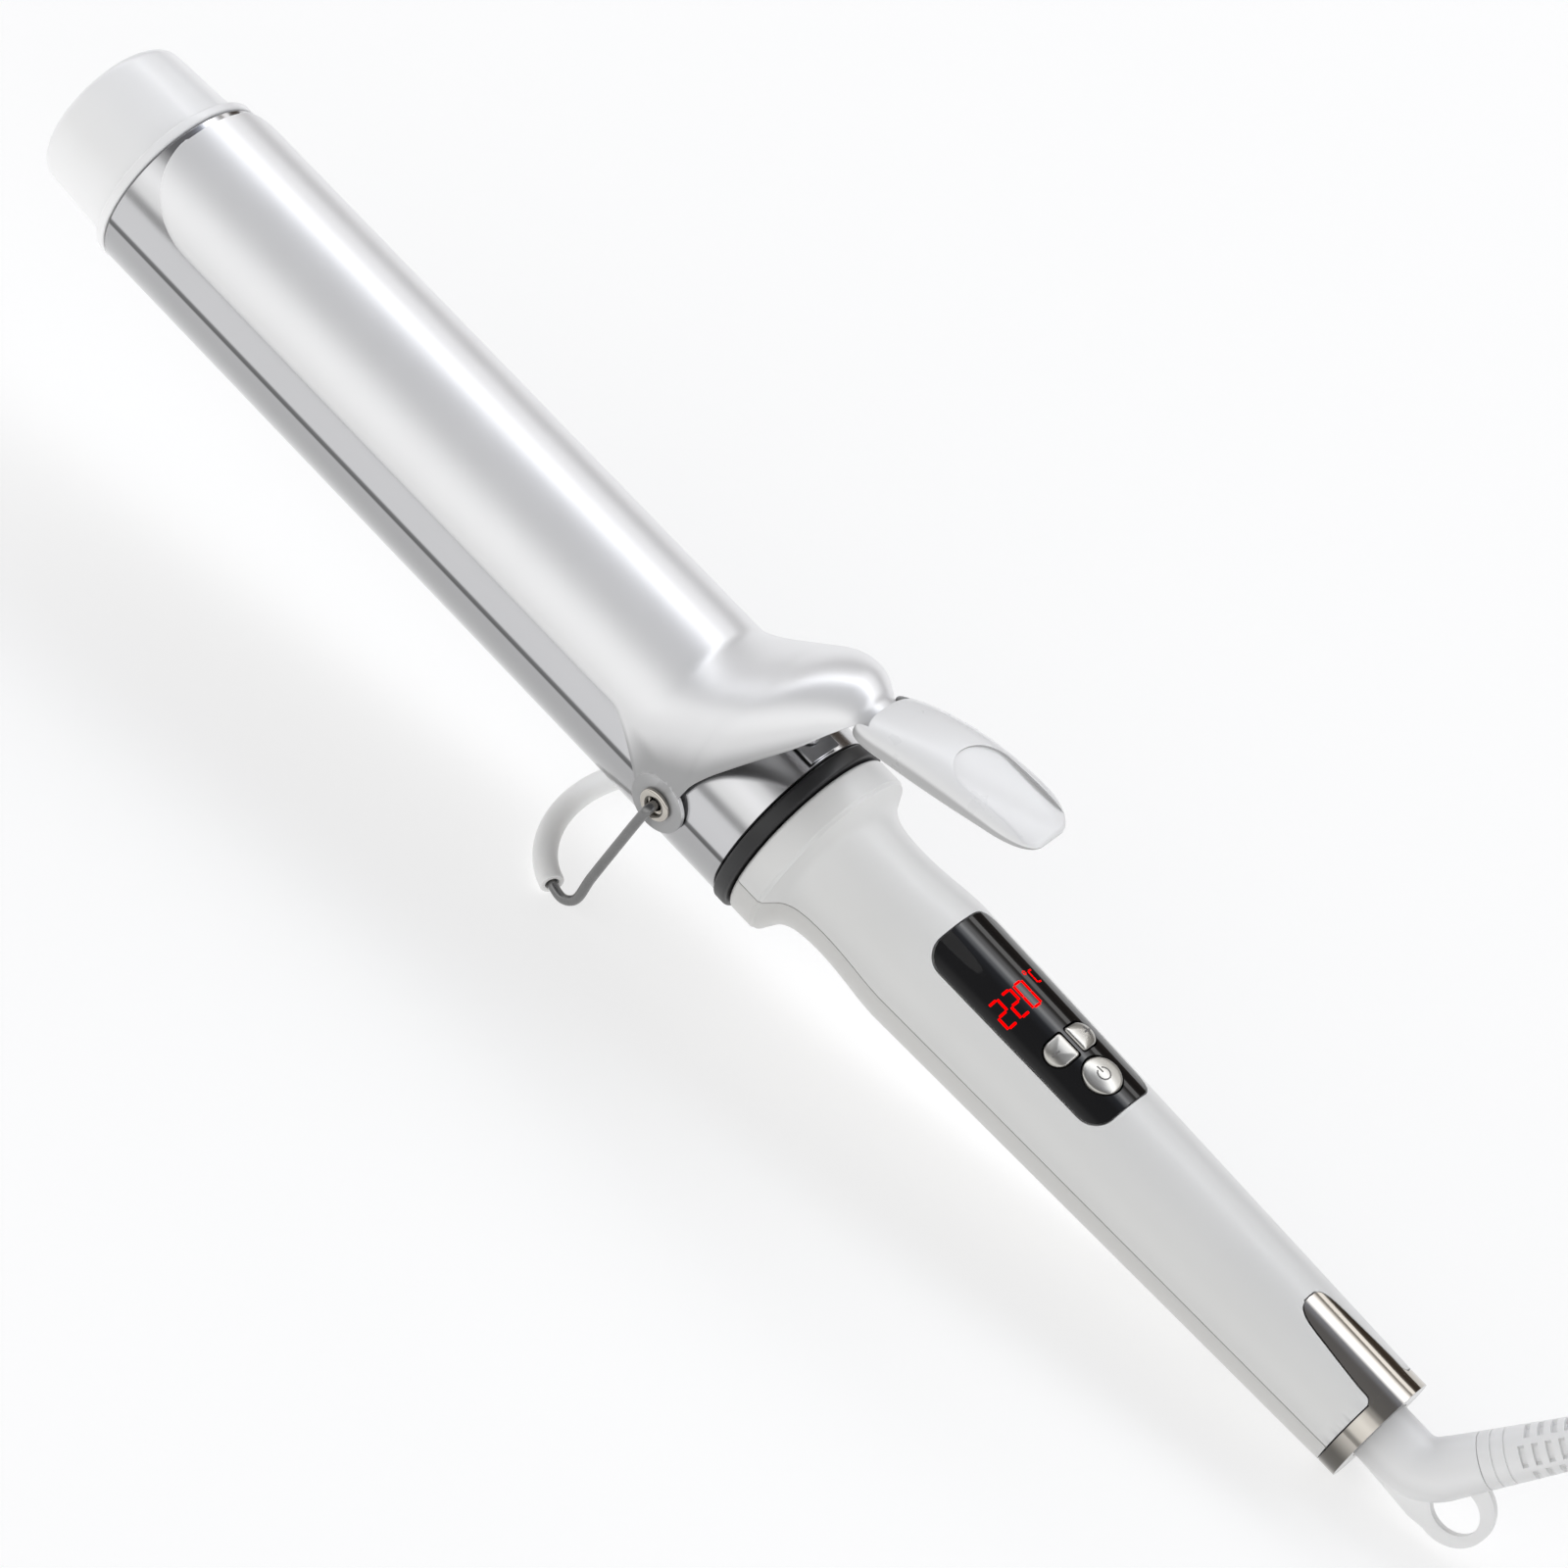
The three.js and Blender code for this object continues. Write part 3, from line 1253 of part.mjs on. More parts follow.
function buildIron() {
  const iron = new THREE.Group();
  const add = (name, geometry, material) => iron.add(named(name, geometry, material));

  add("tip_cap", tipCap(), CAP_PLASTIC);
  add("tip_insulator", tipInsulator(), CAP_PLASTIC);
  add("tip_screw", tipScrew(), SPRING_STEEL);
  add("barrel_tube", barrelTube(), CHROME);
  add("ptc_heater", block(HEATER_FRONT + 14, HEATER_REAR - 14, -9, 9, -1.6, 1.6), CERAMIC);
  add("heat_spreader_upper", heatSpreader(1), ALUMINIUM);
  add("heat_spreader_lower", heatSpreader(-1), ALUMINIUM);
  add("temperature_sensor", rodAlong(0, 7.4, 1.4, -252, -238), MICA);
  add("thermal_fuse", rodAlong(0, -7.6, 1.7, -200, -188), BRASS);
  add("barrel_holder", barrelHolder(), NYLON);
  add("heat_ring", heatRing(), BLACK_RESIN);

  add("clamp_plate", clampPlate(), PEARL_STEEL);
  add("thumb_paddle", thumbPaddle(), CAP_PLASTIC);
  add("paddle_screw", paddleScrew(), SPRING_STEEL);
  add("clamp_spring", clampSpring(), SPRING_STEEL);
  add("spring_rivet", springRivet(), SPRING_STEEL);
  add("pivot_eyelet_near", pivotEyelet(-1), NICKEL);
  add("pivot_eyelet_far", pivotEyelet(1), NICKEL);

  add("stand_wire", standWire(), DARK_WIRE);
  add("stand_sleeve", standSleeve(), WHITE_SILICONE);

  add("handle_upper_shell", handleUpperShell(), WHITE_PLASTIC);
  add("handle_lower_shell", handleLowerShell(), WHITE_PLASTIC);
  SHELL_SCREW_STATIONS.forEach((station, i) => {
    add(["shell_screw_front", "shell_screw_rear"][i], shellScrew(station), SPRING_STEEL);
  });

  add("display_lens", displayLens(), BLACK_LENS);
  add("led_display", ledDisplay(), BLACK_RESIN);
  add("minus_button", keyButton(-1), SILVER_BUTTON);
  add("plus_button", keyButton(1), SILVER_BUTTON);
  add("power_button", powerButton(), SILVER_BUTTON);
  add("minus_switch", tactSwitch(KEY_STATION, -2.7, 1.8, 8.8, 9.8), BLACK_RESIN);
  add("plus_switch", tactSwitch(KEY_STATION, 2.7, 1.8, 8.8, 9.8), BLACK_RESIN);
  add("power_switch", tactSwitch(POWER_STATION, 0, 2.4, 9.2, 10.2), BLACK_RESIN);
  add("control_board", controlBoard(), GREEN_BOARD);
  add("triac", triac(), BLACK_RESIN);
  add("film_capacitor", filmCapacitor(), MICA);
  BOARD_POST_STATIONS.forEach((station, i) => {
    add(["board_screw_front", "board_screw_rear"][i], boardScrew(station), SPRING_STEEL);
  });

  add("tail_trim", tailTrim(), NICKEL);
  add("swivel_bush", swivelBush(), NYLON);
  add("brush_block", brushBlock(), BLACK_RESIN);
  add("cord_elbow", cordElbow(), WHITE_PLASTIC);
  add("swivel_retainer", stubRing(-15.4, -13.9, 8), NYLON);
  add("contact_ring_live", stubRing(-19.2, -17.6, 6.2), BRASS);
  add("contact_ring_neutral", stubRing(-22.6, -21, 6.2), BRASS);
  add("strain_relief", strainRelief(), WHITE_PLASTIC);
  add("heater_lead_live", heaterLead(-1), WHITE_SILICONE);
  add("heater_lead_neutral", heaterLead(1), WHITE_SILICONE);
  return iron;
}

// The iron stands on its foot and tail edge, its box centred over the origin.
const ironGroup = buildIron();
ironGroup.rotation.y = restingAngle();
const standing = new THREE.Box3().setFromObject(ironGroup, true);
const middle = standing.getCenter(new THREE.Vector3());
ironGroup.position.set(-middle.x, -middle.y, -standing.min.z);

const cordGroup = new THREE.Group();
cordGroup.add(named("cord_tube", cordTube(), WHITE_CABLE));
cordGroup.add(named("cord_hank", cordHank(), WHITE_CABLE));
cordGroup.add(named("cord_tail", cordTail(), WHITE_CABLE));
cordGroup.add(named("cord_tie", cordTie(), WHITE_SILICONE));

const plugGroup = new THREE.Group();
plugGroup.add(named("plug_body", plugBody(), WHITE_CABLE));
plugGroup.add(named("plug_pin_left", plugPin(-1), NICKEL));
plugGroup.add(named("plug_pin_right", plugPin(1), NICKEL));
plugGroup.rotation.z = -Math.PI / 2;
plugGroup.position.set(PLUG_FACE_X, PLUG_Y, PLUG_AXIS_HEIGHT);

const root = new THREE.Group();
root.add(ironGroup, cordGroup, plugGroup);

export default root;
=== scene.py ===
# Curling iron with a spring clamp, a wire stand and a mains cord tied in a hank, on its CAD frame.
# Blender units are metres. Pieces of the iron are drawn in millimetres along the iron's own axis
# ("station", 0 at the tail and negative towards the tip) and placed by the swivel joint's frame.
import bpy
import bmesh
import json
import math
import numpy as np
from mathutils import Matrix, Vector

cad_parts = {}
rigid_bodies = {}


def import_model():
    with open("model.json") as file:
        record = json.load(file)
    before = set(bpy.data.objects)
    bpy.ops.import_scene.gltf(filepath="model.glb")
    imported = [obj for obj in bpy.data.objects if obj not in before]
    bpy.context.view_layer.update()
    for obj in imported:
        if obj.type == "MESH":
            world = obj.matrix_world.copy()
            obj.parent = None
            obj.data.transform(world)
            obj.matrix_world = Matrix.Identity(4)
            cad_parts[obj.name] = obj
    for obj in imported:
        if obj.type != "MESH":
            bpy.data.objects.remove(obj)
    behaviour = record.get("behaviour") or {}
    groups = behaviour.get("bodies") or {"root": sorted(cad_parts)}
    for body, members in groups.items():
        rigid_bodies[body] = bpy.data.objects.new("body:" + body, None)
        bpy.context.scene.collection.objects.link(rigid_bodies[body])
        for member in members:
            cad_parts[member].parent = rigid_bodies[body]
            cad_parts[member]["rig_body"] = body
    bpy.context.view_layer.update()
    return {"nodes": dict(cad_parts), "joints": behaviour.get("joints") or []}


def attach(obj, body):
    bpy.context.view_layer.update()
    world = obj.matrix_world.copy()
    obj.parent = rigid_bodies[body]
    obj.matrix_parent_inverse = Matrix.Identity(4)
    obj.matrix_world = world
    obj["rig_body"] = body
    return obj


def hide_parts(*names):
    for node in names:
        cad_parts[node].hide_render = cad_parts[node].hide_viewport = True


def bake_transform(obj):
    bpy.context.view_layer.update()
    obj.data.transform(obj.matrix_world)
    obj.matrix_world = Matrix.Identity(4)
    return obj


for startup_object in list(bpy.data.objects):
    bpy.data.objects.remove(startup_object)

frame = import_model()
joints = {joint["name"]: joint for joint in frame["joints"]}

MM = 0.001
tau = 2 * math.pi

# ---- where the iron lies ---------------------

tail = Vector(joints["cord_swivel_turn"]["pos_m"])
axis_x = Vector(joints["cord_swivel_turn"]["axis"]).normalized()
axis_y = Vector((0, 1, 0))
axis_z = axis_x.cross(axis_y).normalized()
IRON = Matrix.Translation(tail) @ Matrix((axis_x, axis_y, axis_z)).transposed().to_4x4()

# ---- driving dimensions, mm ------------------

BARREL_RADIUS = 19
BARREL_WALL = 1.2
BARREL_FRONT = -322.2
BARREL_REAR = -152.8
TIP_END = -343.6
FLANGE_FRONT = -324.5
FLANGE_RADIUS = 19.2
PIVOT_STATION = -169
SHEET = 0.8
LEAF_RADIUS = BARREL_RADIUS + 0.3 + SHEET / 2
LEAF_FRONT = -320.4
LEAF_HALF_ANGLE = 65
LEAF_TIP_HALF_ANGLE = 20
LEAF_CORNER = 16
COLLAR_FRONT = -149
COLLAR_RADIUS = 18.9
CREASE_STATION = -116
CREASE_RADIUS = 14.12
SHELL_REAR = -4
SHELL_REAR_RADIUS = 11.4
SHELL_WALL = 2
NECK_BORE = 11.1
LENS_FRONT = -115
LENS_REAR = -70.8
LENS_HALF_ANGLE = 39
LENS_CORNER = 4.6
LENS_THICKNESS = 1.2
KEY_STATION = -85.85
KEY_ANGLE = 15
POWER_STATION = -77.8
POWER_RADIUS = 3.9
BUTTON_BOTTOM = 11
BUTTON_RISE = 0.6
WIRE_RADIUS = 1.0
EYELET_BORE = 1.3
EYELET_SHANK = 1.9
PIVOT_HOLE = 2.2
EAR_RADIUS = 6
RIVET_STATION = -158
TANG_SCREW_STATION = -133
SCREW_HOLE = 1.5
SLEEVE_RADIUS = 2.4
LEG_SIDE = 22.9
FOOT_STATION = -172.8
FOOT_DROP = 36.5
FOOT_BULGE = 17.8
SWIVEL_LEAN = 32
ELBOW_BEND = 59
ELBOW_BEND_RADIUS = 8
ELBOW_STRAIGHT = 6
ELBOW_RADIUS = 6.15
ELBOW_TAIL = 7.4
RELIEF_LENGTH = 34
RELIEF_START_RADIUS = 5.25
RELIEF_END_RADIUS = 3.9
CORD_DIAMETER = 6.5
GAP = 0.3
HANDLE_SLOPE = (SHELL_REAR_RADIUS - CREASE_RADIUS) / (SHELL_REAR - CREASE_STATION)


def handle_radius(station):
    """Radius of the handle's tapered part."""
    return CREASE_RADIUS + HANDLE_SLOPE * (station - CREASE_STATION)


# ---- camera ----------------------------------

# Where the camera stands, in metres, where it looks and which way is up.
CAMERA_PLACE = (0.30726, -0.58629, 0.71914)
CAMERA_FORWARD = (-0.32870, 0.61776, -0.71438)
CAMERA_UP = (-0.60714, 0.44118, 0.66087)
CAMERA_LENS = 120.1


def add_camera():
    forward = Vector(CAMERA_FORWARD).normalized()
    right = forward.cross(Vector(CAMERA_UP)).normalized()
    up = right.cross(forward)
    data = bpy.data.cameras.new("camera")
    data.lens = CAMERA_LENS
    data.sensor_width = 36
    data.clip_start = 0.01
    camera = bpy.data.objects.new("camera", data)
    turn = Matrix((right, up, -forward)).transposed().to_4x4()
    camera.matrix_world = Matrix.Translation(CAMERA_PLACE) @ turn
    bpy.context.collection.objects.link(camera)
    bpy.context.scene.camera = camera


# ---- mesh helpers ----------------------------


def new_object(name, vertices, faces, matrix=IRON, scale=MM):
    """A mesh object; its vertices are scaled and placed by matrix."""
    mesh = bpy.data.meshes.new(name)
    mesh.from_pydata([Vector(v) * scale for v in vertices], [], faces)
    mesh.update()
    obj = bpy.data.objects.new(name, mesh)
    obj.matrix_world = matrix
    bpy.context.collection.objects.link(obj)
    tidy_mesh(obj)
    return obj


def tidy_mesh(obj):
    """Joins doubled vertices and turns every face outwards."""
    shape = bmesh.new()
    shape.from_mesh(obj.data)
    bmesh.ops.remove_doubles(shape, verts=shape.verts, dist=1e-7)
    bmesh.ops.recalc_face_normals(shape, faces=shape.faces)
    shape.to_mesh(obj.data)
    shape.free()


def smooth(obj, angle=35):
    """Smooth shading that keeps edges sharper than the angle."""
    mesh = obj.data
    mesh.polygons.foreach_set("use_smooth", [True] * len(mesh.polygons))
    mesh.set_sharp_from_angle(angle=math.radians(angle))
    return obj


def apply_modifiers(obj):
    """Keeps the mesh as its modifiers leave it."""
    graph = bpy.context.evaluated_depsgraph_get()
    mesh = bpy.data.meshes.new_from_object(obj.evaluated_get(graph))
    obj.modifiers.clear()
    obj.data = mesh
    return obj


def cut(obj, tools, operation="DIFFERENCE"):
    """Cuts or joins the tools and removes them."""
    for tool in tools:
        modifier = obj.modifiers.new("cut", "BOOLEAN")
        modifier.operation = operation
        modifier.solver = "EXACT"
        modifier.object = tool
    bpy.context.view_layer.update()
    apply_modifiers(obj)
    for tool in tools:
        bpy.data.objects.remove(tool)
    return obj


def rounded(obj, width, segments=3, angle=40):
    """Rounds the edges sharper than the angle, by a width in mm."""
    modifier = obj.modifiers.new("rounding", "BEVEL")
    modifier.width = width * MM
    modifier.segments = segments
    modifier.limit_method = "ANGLE"
    modifier.angle_limit = math.radians(angle)
    modifier.harden_normals = False
    bpy.context.view_layer.update()
    return apply_modifiers(obj)


def arc(centre, radius, start, end, steps=6):
    """Points of a profile's rounded corner; angles in degrees from the station axis."""
    points = []
    for i in range(steps + 1):
        a = math.radians(start + (end - start) * i / steps)
        points.append((centre[0] + radius * math.cos(a), centre[1] + radius * math.sin(a)))
    return points


def shell_between(name, outer, inner, matrix=IRON):
    """Closed solid between two equal grids of points."""
    rows, columns = len(outer), len(outer[0])
    vertices = [p for line in outer for p in line] + [p for line in inner for p in line]

    def at(layer, row, column):
        return (layer * rows + row) * columns + column

    faces = []
    for r in range(rows - 1):
        for c in range(columns - 1):
            for layer in (0, 1):
                faces.append(
                    (at(layer, r, c), at(layer, r + 1, c), at(layer, r + 1, c + 1), at(layer, r, c + 1))
                )
        for c in (0, columns - 1):
            faces.append((at(0, r, c), at(1, r, c), at(1, r + 1, c), at(0, r + 1, c)))
    for c in range(columns - 1):
        for r in (0, rows - 1):
            faces.append((at(0, r, c), at(0, r, c + 1), at(1, r, c + 1), at(1, r, c)))
    return new_object(name, vertices, faces, matrix)


def loft(name, rings, matrix=IRON, caps=True):
    """Skin through equal rings of points, with flat ends."""
    sides = len(rings[0])
    vertices = [p for ring in rings for p in ring]
    faces = []
    for r in range(len(rings) - 1):
        for i in range(sides):
            j = (i + 1) % sides
            faces.append((r * sides + i, r * sides + j, (r + 1) * sides + j, (r + 1) * sides + i))
    if caps:
        faces.append(tuple(range(sides)))
        faces.append(tuple((len(rings) - 1) * sides + i for i in range(sides)))
    return new_object(name, vertices, faces, matrix)


def lathe(name, profile, sides=144, matrix=IRON):
    """[station, radius] profile turned round the iron's axis; a profile off the axis is a ring."""
    turns = [tau * i / sides for i in range(sides)]
    rings = [[(x, r * math.sin(a), r * math.cos(a)) for a in turns] for x, r in profile]
    if profile[0][1] > 0 or profile[-1][1] > 0:
        rings.append(rings[0])
    return loft(name, rings, matrix, caps=False)


def prism(name, outline, low, high, place=lambda x, y, z: (x, y, z), matrix=IRON):
    """An outline of (x, y) points pulled from low to high, each corner moved by place."""
    return loft(name, [[place(x, y, level) for x, y in outline] for level in (low, high)], matrix)


def around(station, radius, angle):
    """A point on a round surface; angle in degrees from the top towards the far side."""
    a = math.radians(angle)
    return (station, radius * math.sin(a), radius * math.cos(a))


def circle(radius, sides=48, centre=(0, 0)):
    """An outline's points round a circle."""
    return [
        (centre[0] + radius * math.cos(tau * i / sides), centre[1] + radius * math.sin(tau * i / sides))
        for i in range(sides)
    ]


def rod(name, start, end, radius, sides=48):
    """A straight round rod between two points of the iron."""
    line = Vector(end) - Vector(start)
    turn = line.to_track_quat("Z", "Y")
    rings = []
    for along in (0, line.length):
        rings.append([Vector(start) + turn @ Vector((x, y, along)) for x, y in circle(radius, sides)])
    return loft(name, rings)


def blended(rows, steps):
    """Rows of numbers with smooth rows added between them."""
    rows = [np.array(row, float) for row in rows]
    padded = [2 * rows[0] - rows[1]] + rows + [2 * rows[-1] - rows[-2]]
    out = []
    for before, start, end, after in zip(padded, padded[1:], padded[2:], padded[3:]):
        for step in range(steps):
            t = step / steps
            cubic = (2 * before - 5 * start + 4 * end - after) * t * t
            cubic = cubic + (3 * start - before - 3 * end + after) * t ** 3
            out.append(0.5 * (2 * start + (end - before) * t + cubic))
    out.append(rows[-1])
    return out


def centripetal(points, steps):
    """Smooth line that keeps tight to unevenly spaced points."""
    points = [Vector(p) for p in points]
    padded = [2 * points[0] - points[1]] + points + [2 * points[-1] - points[-2]]
    line = []
    for p0, p1, p2, p3 in zip(padded, padded[1:], padded[2:], padded[3:]):
        t1 = (p1 - p0).length ** 0.5
        t2 = t1 + (p2 - p1).length ** 0.5
        t3 = t2 + (p3 - p2).length ** 0.5
        for step in range(steps):
            t = t1 + (t2 - t1) * step / steps
            a1 = p0 * ((t1 - t) / t1) + p1 * (t / t1)
            a2 = p1 * ((t2 - t) / (t2 - t1)) + p2 * ((t - t1) / (t2 - t1))
            a3 = p2 * ((t3 - t) / (t3 - t2)) + p3 * ((t - t2) / (t3 - t2))
            b1 = a1 * ((t2 - t) / t2) + a2 * (t / t2)
            b2 = a2 * ((t3 - t) / (t3 - t1)) + a3 * ((t - t1) / (t3 - t1))
            line.append(b1 * ((t2 - t) / (t2 - t1)) + b2 * ((t - t1) / (t2 - t1)))
    line.append(points[-1])
    return line


def tube_rings(line, radius, sides):
    """Rings along a line, kept from twisting."""
    rings = []
    normal = None
    for i, point in enumerate(line):
        ahead = line[min(i + 1, len(line) - 1)] - line[max(i - 1, 0)]
        ahead.normalize()
        if normal is None:
            normal = ahead.orthogonal().normalized()
        normal = (normal - ahead * normal.dot(ahead)).normalized()
        side = ahead.cross(normal)
        turns = [tau * s / sides for s in range(sides)]
        rings.append([point + (normal * math.cos(a) + side * math.sin(a)) * radius for a in turns])
    return rings


# ---- mains cord ------------------------------

# The points of the two free stretches are the CAD's, in metres.
CORD_ROUTE = [
    (0.1891, 0.0210, 0.0393),
    (0.1940, 0.0246, 0.0442),
    (0.2003, 0.0286, 0.0486),
    (0.2078, 0.0324, 0.0514),
    (0.2162, 0.0355, 0.0518),
    (0.2246, 0.0376, 0.0496),
    (0.2326, 0.0387, 0.0454),
    (0.2403, 0.0389, 0.0399),
    (0.2479, 0.0384, 0.0340),
    (0.2558, 0.0373, 0.0286),
    (0.2644, 0.0359, 0.0249),
    (0.2735, 0.0350, 0.0236),
    (0.2830, 0.0348, 0.0236),
]
TAIL_ROUTE = [
    (0.3015, 0.0287, 0.0236),
    (0.3073, 0.0267, 0.0236),
    (0.3123, 0.0229, 0.0237),
    (0.3159, 0.0178, 0.0240),
    (0.3177, 0.0119, 0.0245),
    (0.3176, 0.0056, 0.0251),
    (0.3156, -0.0002, 0.0258),
    (0.3118, -0.0052, 0.0264),
    (0.3067, -0.0088, 0.0269),
    (0.3008, -0.0106, 0.0271),
    (0.2925, -0.01075, 0.02715),
]
# From the lowest layer up through the middle of the hank.
CLIMB_ROUTE = [
    (0.2490, 0.0284, 0.0064),
    (0.2565, 0.0262, 0.0104),
    (0.2640, 0.0252, 0.0150),
    (0.2715, 0.0252, 0.0193),
    (0.2790, 0.0260, 0.0224),
    (0.2880, 0.0278, 0.0235),
]
# The hank, in mm on the surface: ends of its runs, middle, half widths and heights of its turns.
HANK_LEFT = 242
HANK_RIGHT = 296
HANK_Y = 12
INNER_STRAND = 19.5
OUTER_STRAND = 26
LAYERS = (16.75, 10.65, 4.55)
HANK_ENTRY = ((297, 36.6, 21.2), (307, 35.6, 18.4))  # where the cord comes down on to it
POINTS_PER_END = 7
POINTS_PER_SIDE = 2


def hank_turn(radius, height):
    """One turn of the hank as (x, y, height) from the far side's left end, clockwise."""
    points = []
    for centre, start in ((HANK_RIGHT, 90), (HANK_LEFT, -90)):
        side = 1 if start > 0 else -1
        opposite = HANK_LEFT if side > 0 else HANK_RIGHT
        for i in range(POINTS_PER_SIDE):
            x = opposite + (centre - opposite) * i / POINTS_PER_SIDE
            points.append(Vector((x, HANK_Y + side * radius, height)))
        for i in range(POINTS_PER_END):
            a = math.radians(start - 180 * i / POINTS_PER_END)
            x = centre + radius * math.cos(a)
            points.append(Vector((x, HANK_Y + radius * math.sin(a), height)))
    return points


def hank_turns():
    """Six turns: outer then inner on top, inner then outer, outer then inner at the bottom."""
    turns = []
    for layer, height in enumerate(LAYERS):
        radii = (OUTER_STRAND, INNER_STRAND) if layer != 1 else (INNER_STRAND, OUTER_STRAND)
        turns += [hank_turn(radius, height) for radius in radii]
    entry = len(turns[0]) // 4
    points = list(turns[0][entry - 1 :])
    points[:2] = [Vector(point) for point in HANK_ENTRY]
    for before, turn in zip(turns, turns[1:]):
        points.append((before[0] + 2 * turn[0]) / 3)
        points += turn[1:]
    points.append(turns[-1][0])
    return [p * MM for p in points]


def cord_route():
    """The whole cord's points, in metres: down to the hank, round it, and up to the plug."""
    free = [Vector(p) for p in CORD_ROUTE]
    return free + hank_turns() + [Vector(p) for p in CLIMB_ROUTE + TAIL_ROUTE]


def add_cord(fittings):
    """The whole cord as one tube, from the strain relief through the hank to the plug."""
    line = [Vector(point) for point in blended(cord_route(), 3)]
    rings = tube_rings(line, CORD_DIAMETER / 2 * MM, 16)
    cord = loft("mains_cord", [[p / MM for p in ring] for ring in rings], Matrix())
    smooth(cord)
    cord.data.materials.append(materials["white_cable"])
    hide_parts("cord_tube", "cord_hank", "cord_tail")
    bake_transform(cord)


# ---- materials -------------------------------

NOISE_LOW, NOISE_HIGH = 0.3, 0.7  # the range that most of a noise's values lie in
SCATTER_DEPTHS = (0.002, 0.0018, 0.0016)

# Painted reflected shade round the polished tube, by degrees from its top: a fine dark line, then the
# darker lower half, standing in for the shaded floor that the chrome reflects.
REFLECTED_SHADE_TONES = [(0, 1), (84.8, 1), (86.2, 0.3), (88.8, 0.2), (90, 0.78), (180, 0.78)]

# How much of the painted shade a face gets, by how far it looks up (-1 is straight down).
PAINTED_SHADE_SHARES = [(-1, 0.35), (-0.6, 0.45), (-0.25, 1), (0.04, 1), (0.5, 0)]

# The tone of the painted shade on the sideways and downward faces of each finish that gets it.
PAINTED_SHADE_TONES = {
    "pearl_steel": 0.4,
    "shaded_lever_plastic": 0.5,
    "white_plastic": 0.85,
    "shaded_trim_nickel": 0.25,
    "boot_plastic": 0.85,
}


def feed(tree, node, inputs):
    """Gives a node's inputs their numbers, colours or links."""
    for key, value in inputs.items():
        if isinstance(value, bpy.types.NodeSocket):
            tree.links.new(value, node.inputs[key])
        else:
            node.inputs[key].default_value = value


def wired(tree, kind, output, inputs=None, **settings):
    """The named output of a new node with these inputs and properties."""
    node = tree.nodes.new("ShaderNode" + kind)
    for name, value in settings.items():
        setattr(node, name, value)
    feed(tree, node, inputs or {})
    return node.outputs[output]


def calculate(tree, operation, *values):
    return wired(tree, "Math", "Value", dict(enumerate(values)), operation=operation)


def dot(tree, vector, axis):
    return wired(tree, "VectorMath", "Value", {0: vector, 1: axis}, operation="DOT_PRODUCT")


def color_ramp(tree, position, stops, interpolation="LINEAR"):
    """Colours by a position from 0 to 1; each stop is (position, colour)."""
    node = tree.nodes.new("ShaderNodeValToRGB")
    node.color_ramp.interpolation = interpolation
    elements = node.color_ramp.elements
    while len(elements) < len(stops):
        elements.new(0.5)
    for element, (at, color) in zip(elements, stops):
        element.position = at
        element.color = (*color, 1)
    feed(tree, node, {"Fac": position})
    return node.outputs["Color"]


def noise(tree, scale, stretch=(1, 1, 1), detail=3):
    """A noise whose scale is in cycles per metre, drawn out by stretch."""
    place = wired(tree, "TexCoord", "Object")
    drawn = wired(tree, "Mapping", "Vector", {"Vector": place, "Scale": stretch})
    return wired(tree, "TexNoise", "Fac", {"Vector": drawn, "Scale": scale, "Detail": detail})


def spread(tree, value, low, high):
    """Maps a noise on to the range from low to high."""
    inputs = {"Value": value, "To Min": low, "To Max": high}
    inputs.update({"From Min": NOISE_LOW, "From Max": NOISE_HIGH})
    return wired(tree, "MapRange", "Result", inputs)


def surface(name, color, roughness, metallic=0.0, coat=0.0, coat_roughness=0.1, mottle=0.02,
            mottle_scale=45, rough_spread=0.04, grain=0.1, grain_scale=2500, grain_depth=0.02,
            stretch=(1, 1, 1), specular=0.5, emission=0.0, scatter=0.0):
    """A finish with slow colour drift, uneven gloss and a fine grain; grain_depth is in mm."""
    made = bpy.data.materials.new(name)
    made.use_nodes = True
    tree = made.node_tree
    shader = tree.nodes["Principled BSDF"]
    pale, deep = [(*[min(c * k, 1) for c in color], 1) for k in (1 + mottle, 1 - mottle)]
    drift = spread(tree, noise(tree, mottle_scale), 0, 1)
    low = max(roughness - rough_spread, 0.01)
    gloss = noise(tree, mottle_scale * 3, detail=4)
    fine = noise(tree, grain_scale, stretch, detail=2)
    bump = {"Height": fine, "Strength": grain, "Distance": grain_depth * MM}
    mixed = {"Factor": drift, "A": deep, "B": pale}
    feed(tree, shader, {
        "Base Color": wired(tree, "Mix", "Result", mixed, data_type="RGBA"),
        "Roughness": spread(tree, gloss, low, roughness + rough_spread),
        "Normal": wired(tree, "Bump", "Normal", bump),
        "Metallic": metallic,
        "Coat Weight": coat,
        "Coat Roughness": coat_roughness,
        "Specular IOR Level": specular,
    })
    if scatter:
        depths = {"Subsurface Radius": SCATTER_DEPTHS, "Subsurface Scale": 1}
        feed(tree, shader, {"Subsurface Weight": scatter, **depths})
    if emission:
        feed(tree, shader, {"Emission Color": (*color, 1), "Emission Strength": emission})
    return made


def darken(finish, tone):
    """Multiplies a finish's colour by a tone."""
    tree = finish.node_tree
    shader = tree.nodes["Principled BSDF"]
    before = shader.inputs["Base Color"].links[0].from_socket
    mixed = {"Factor": 1, "A": before, "B": tone}
    darker = wired(tree, "Mix", "Result", mixed, data_type="RGBA", blend_type="MULTIPLY")
    feed(tree, shader, {"Base Color": darker})


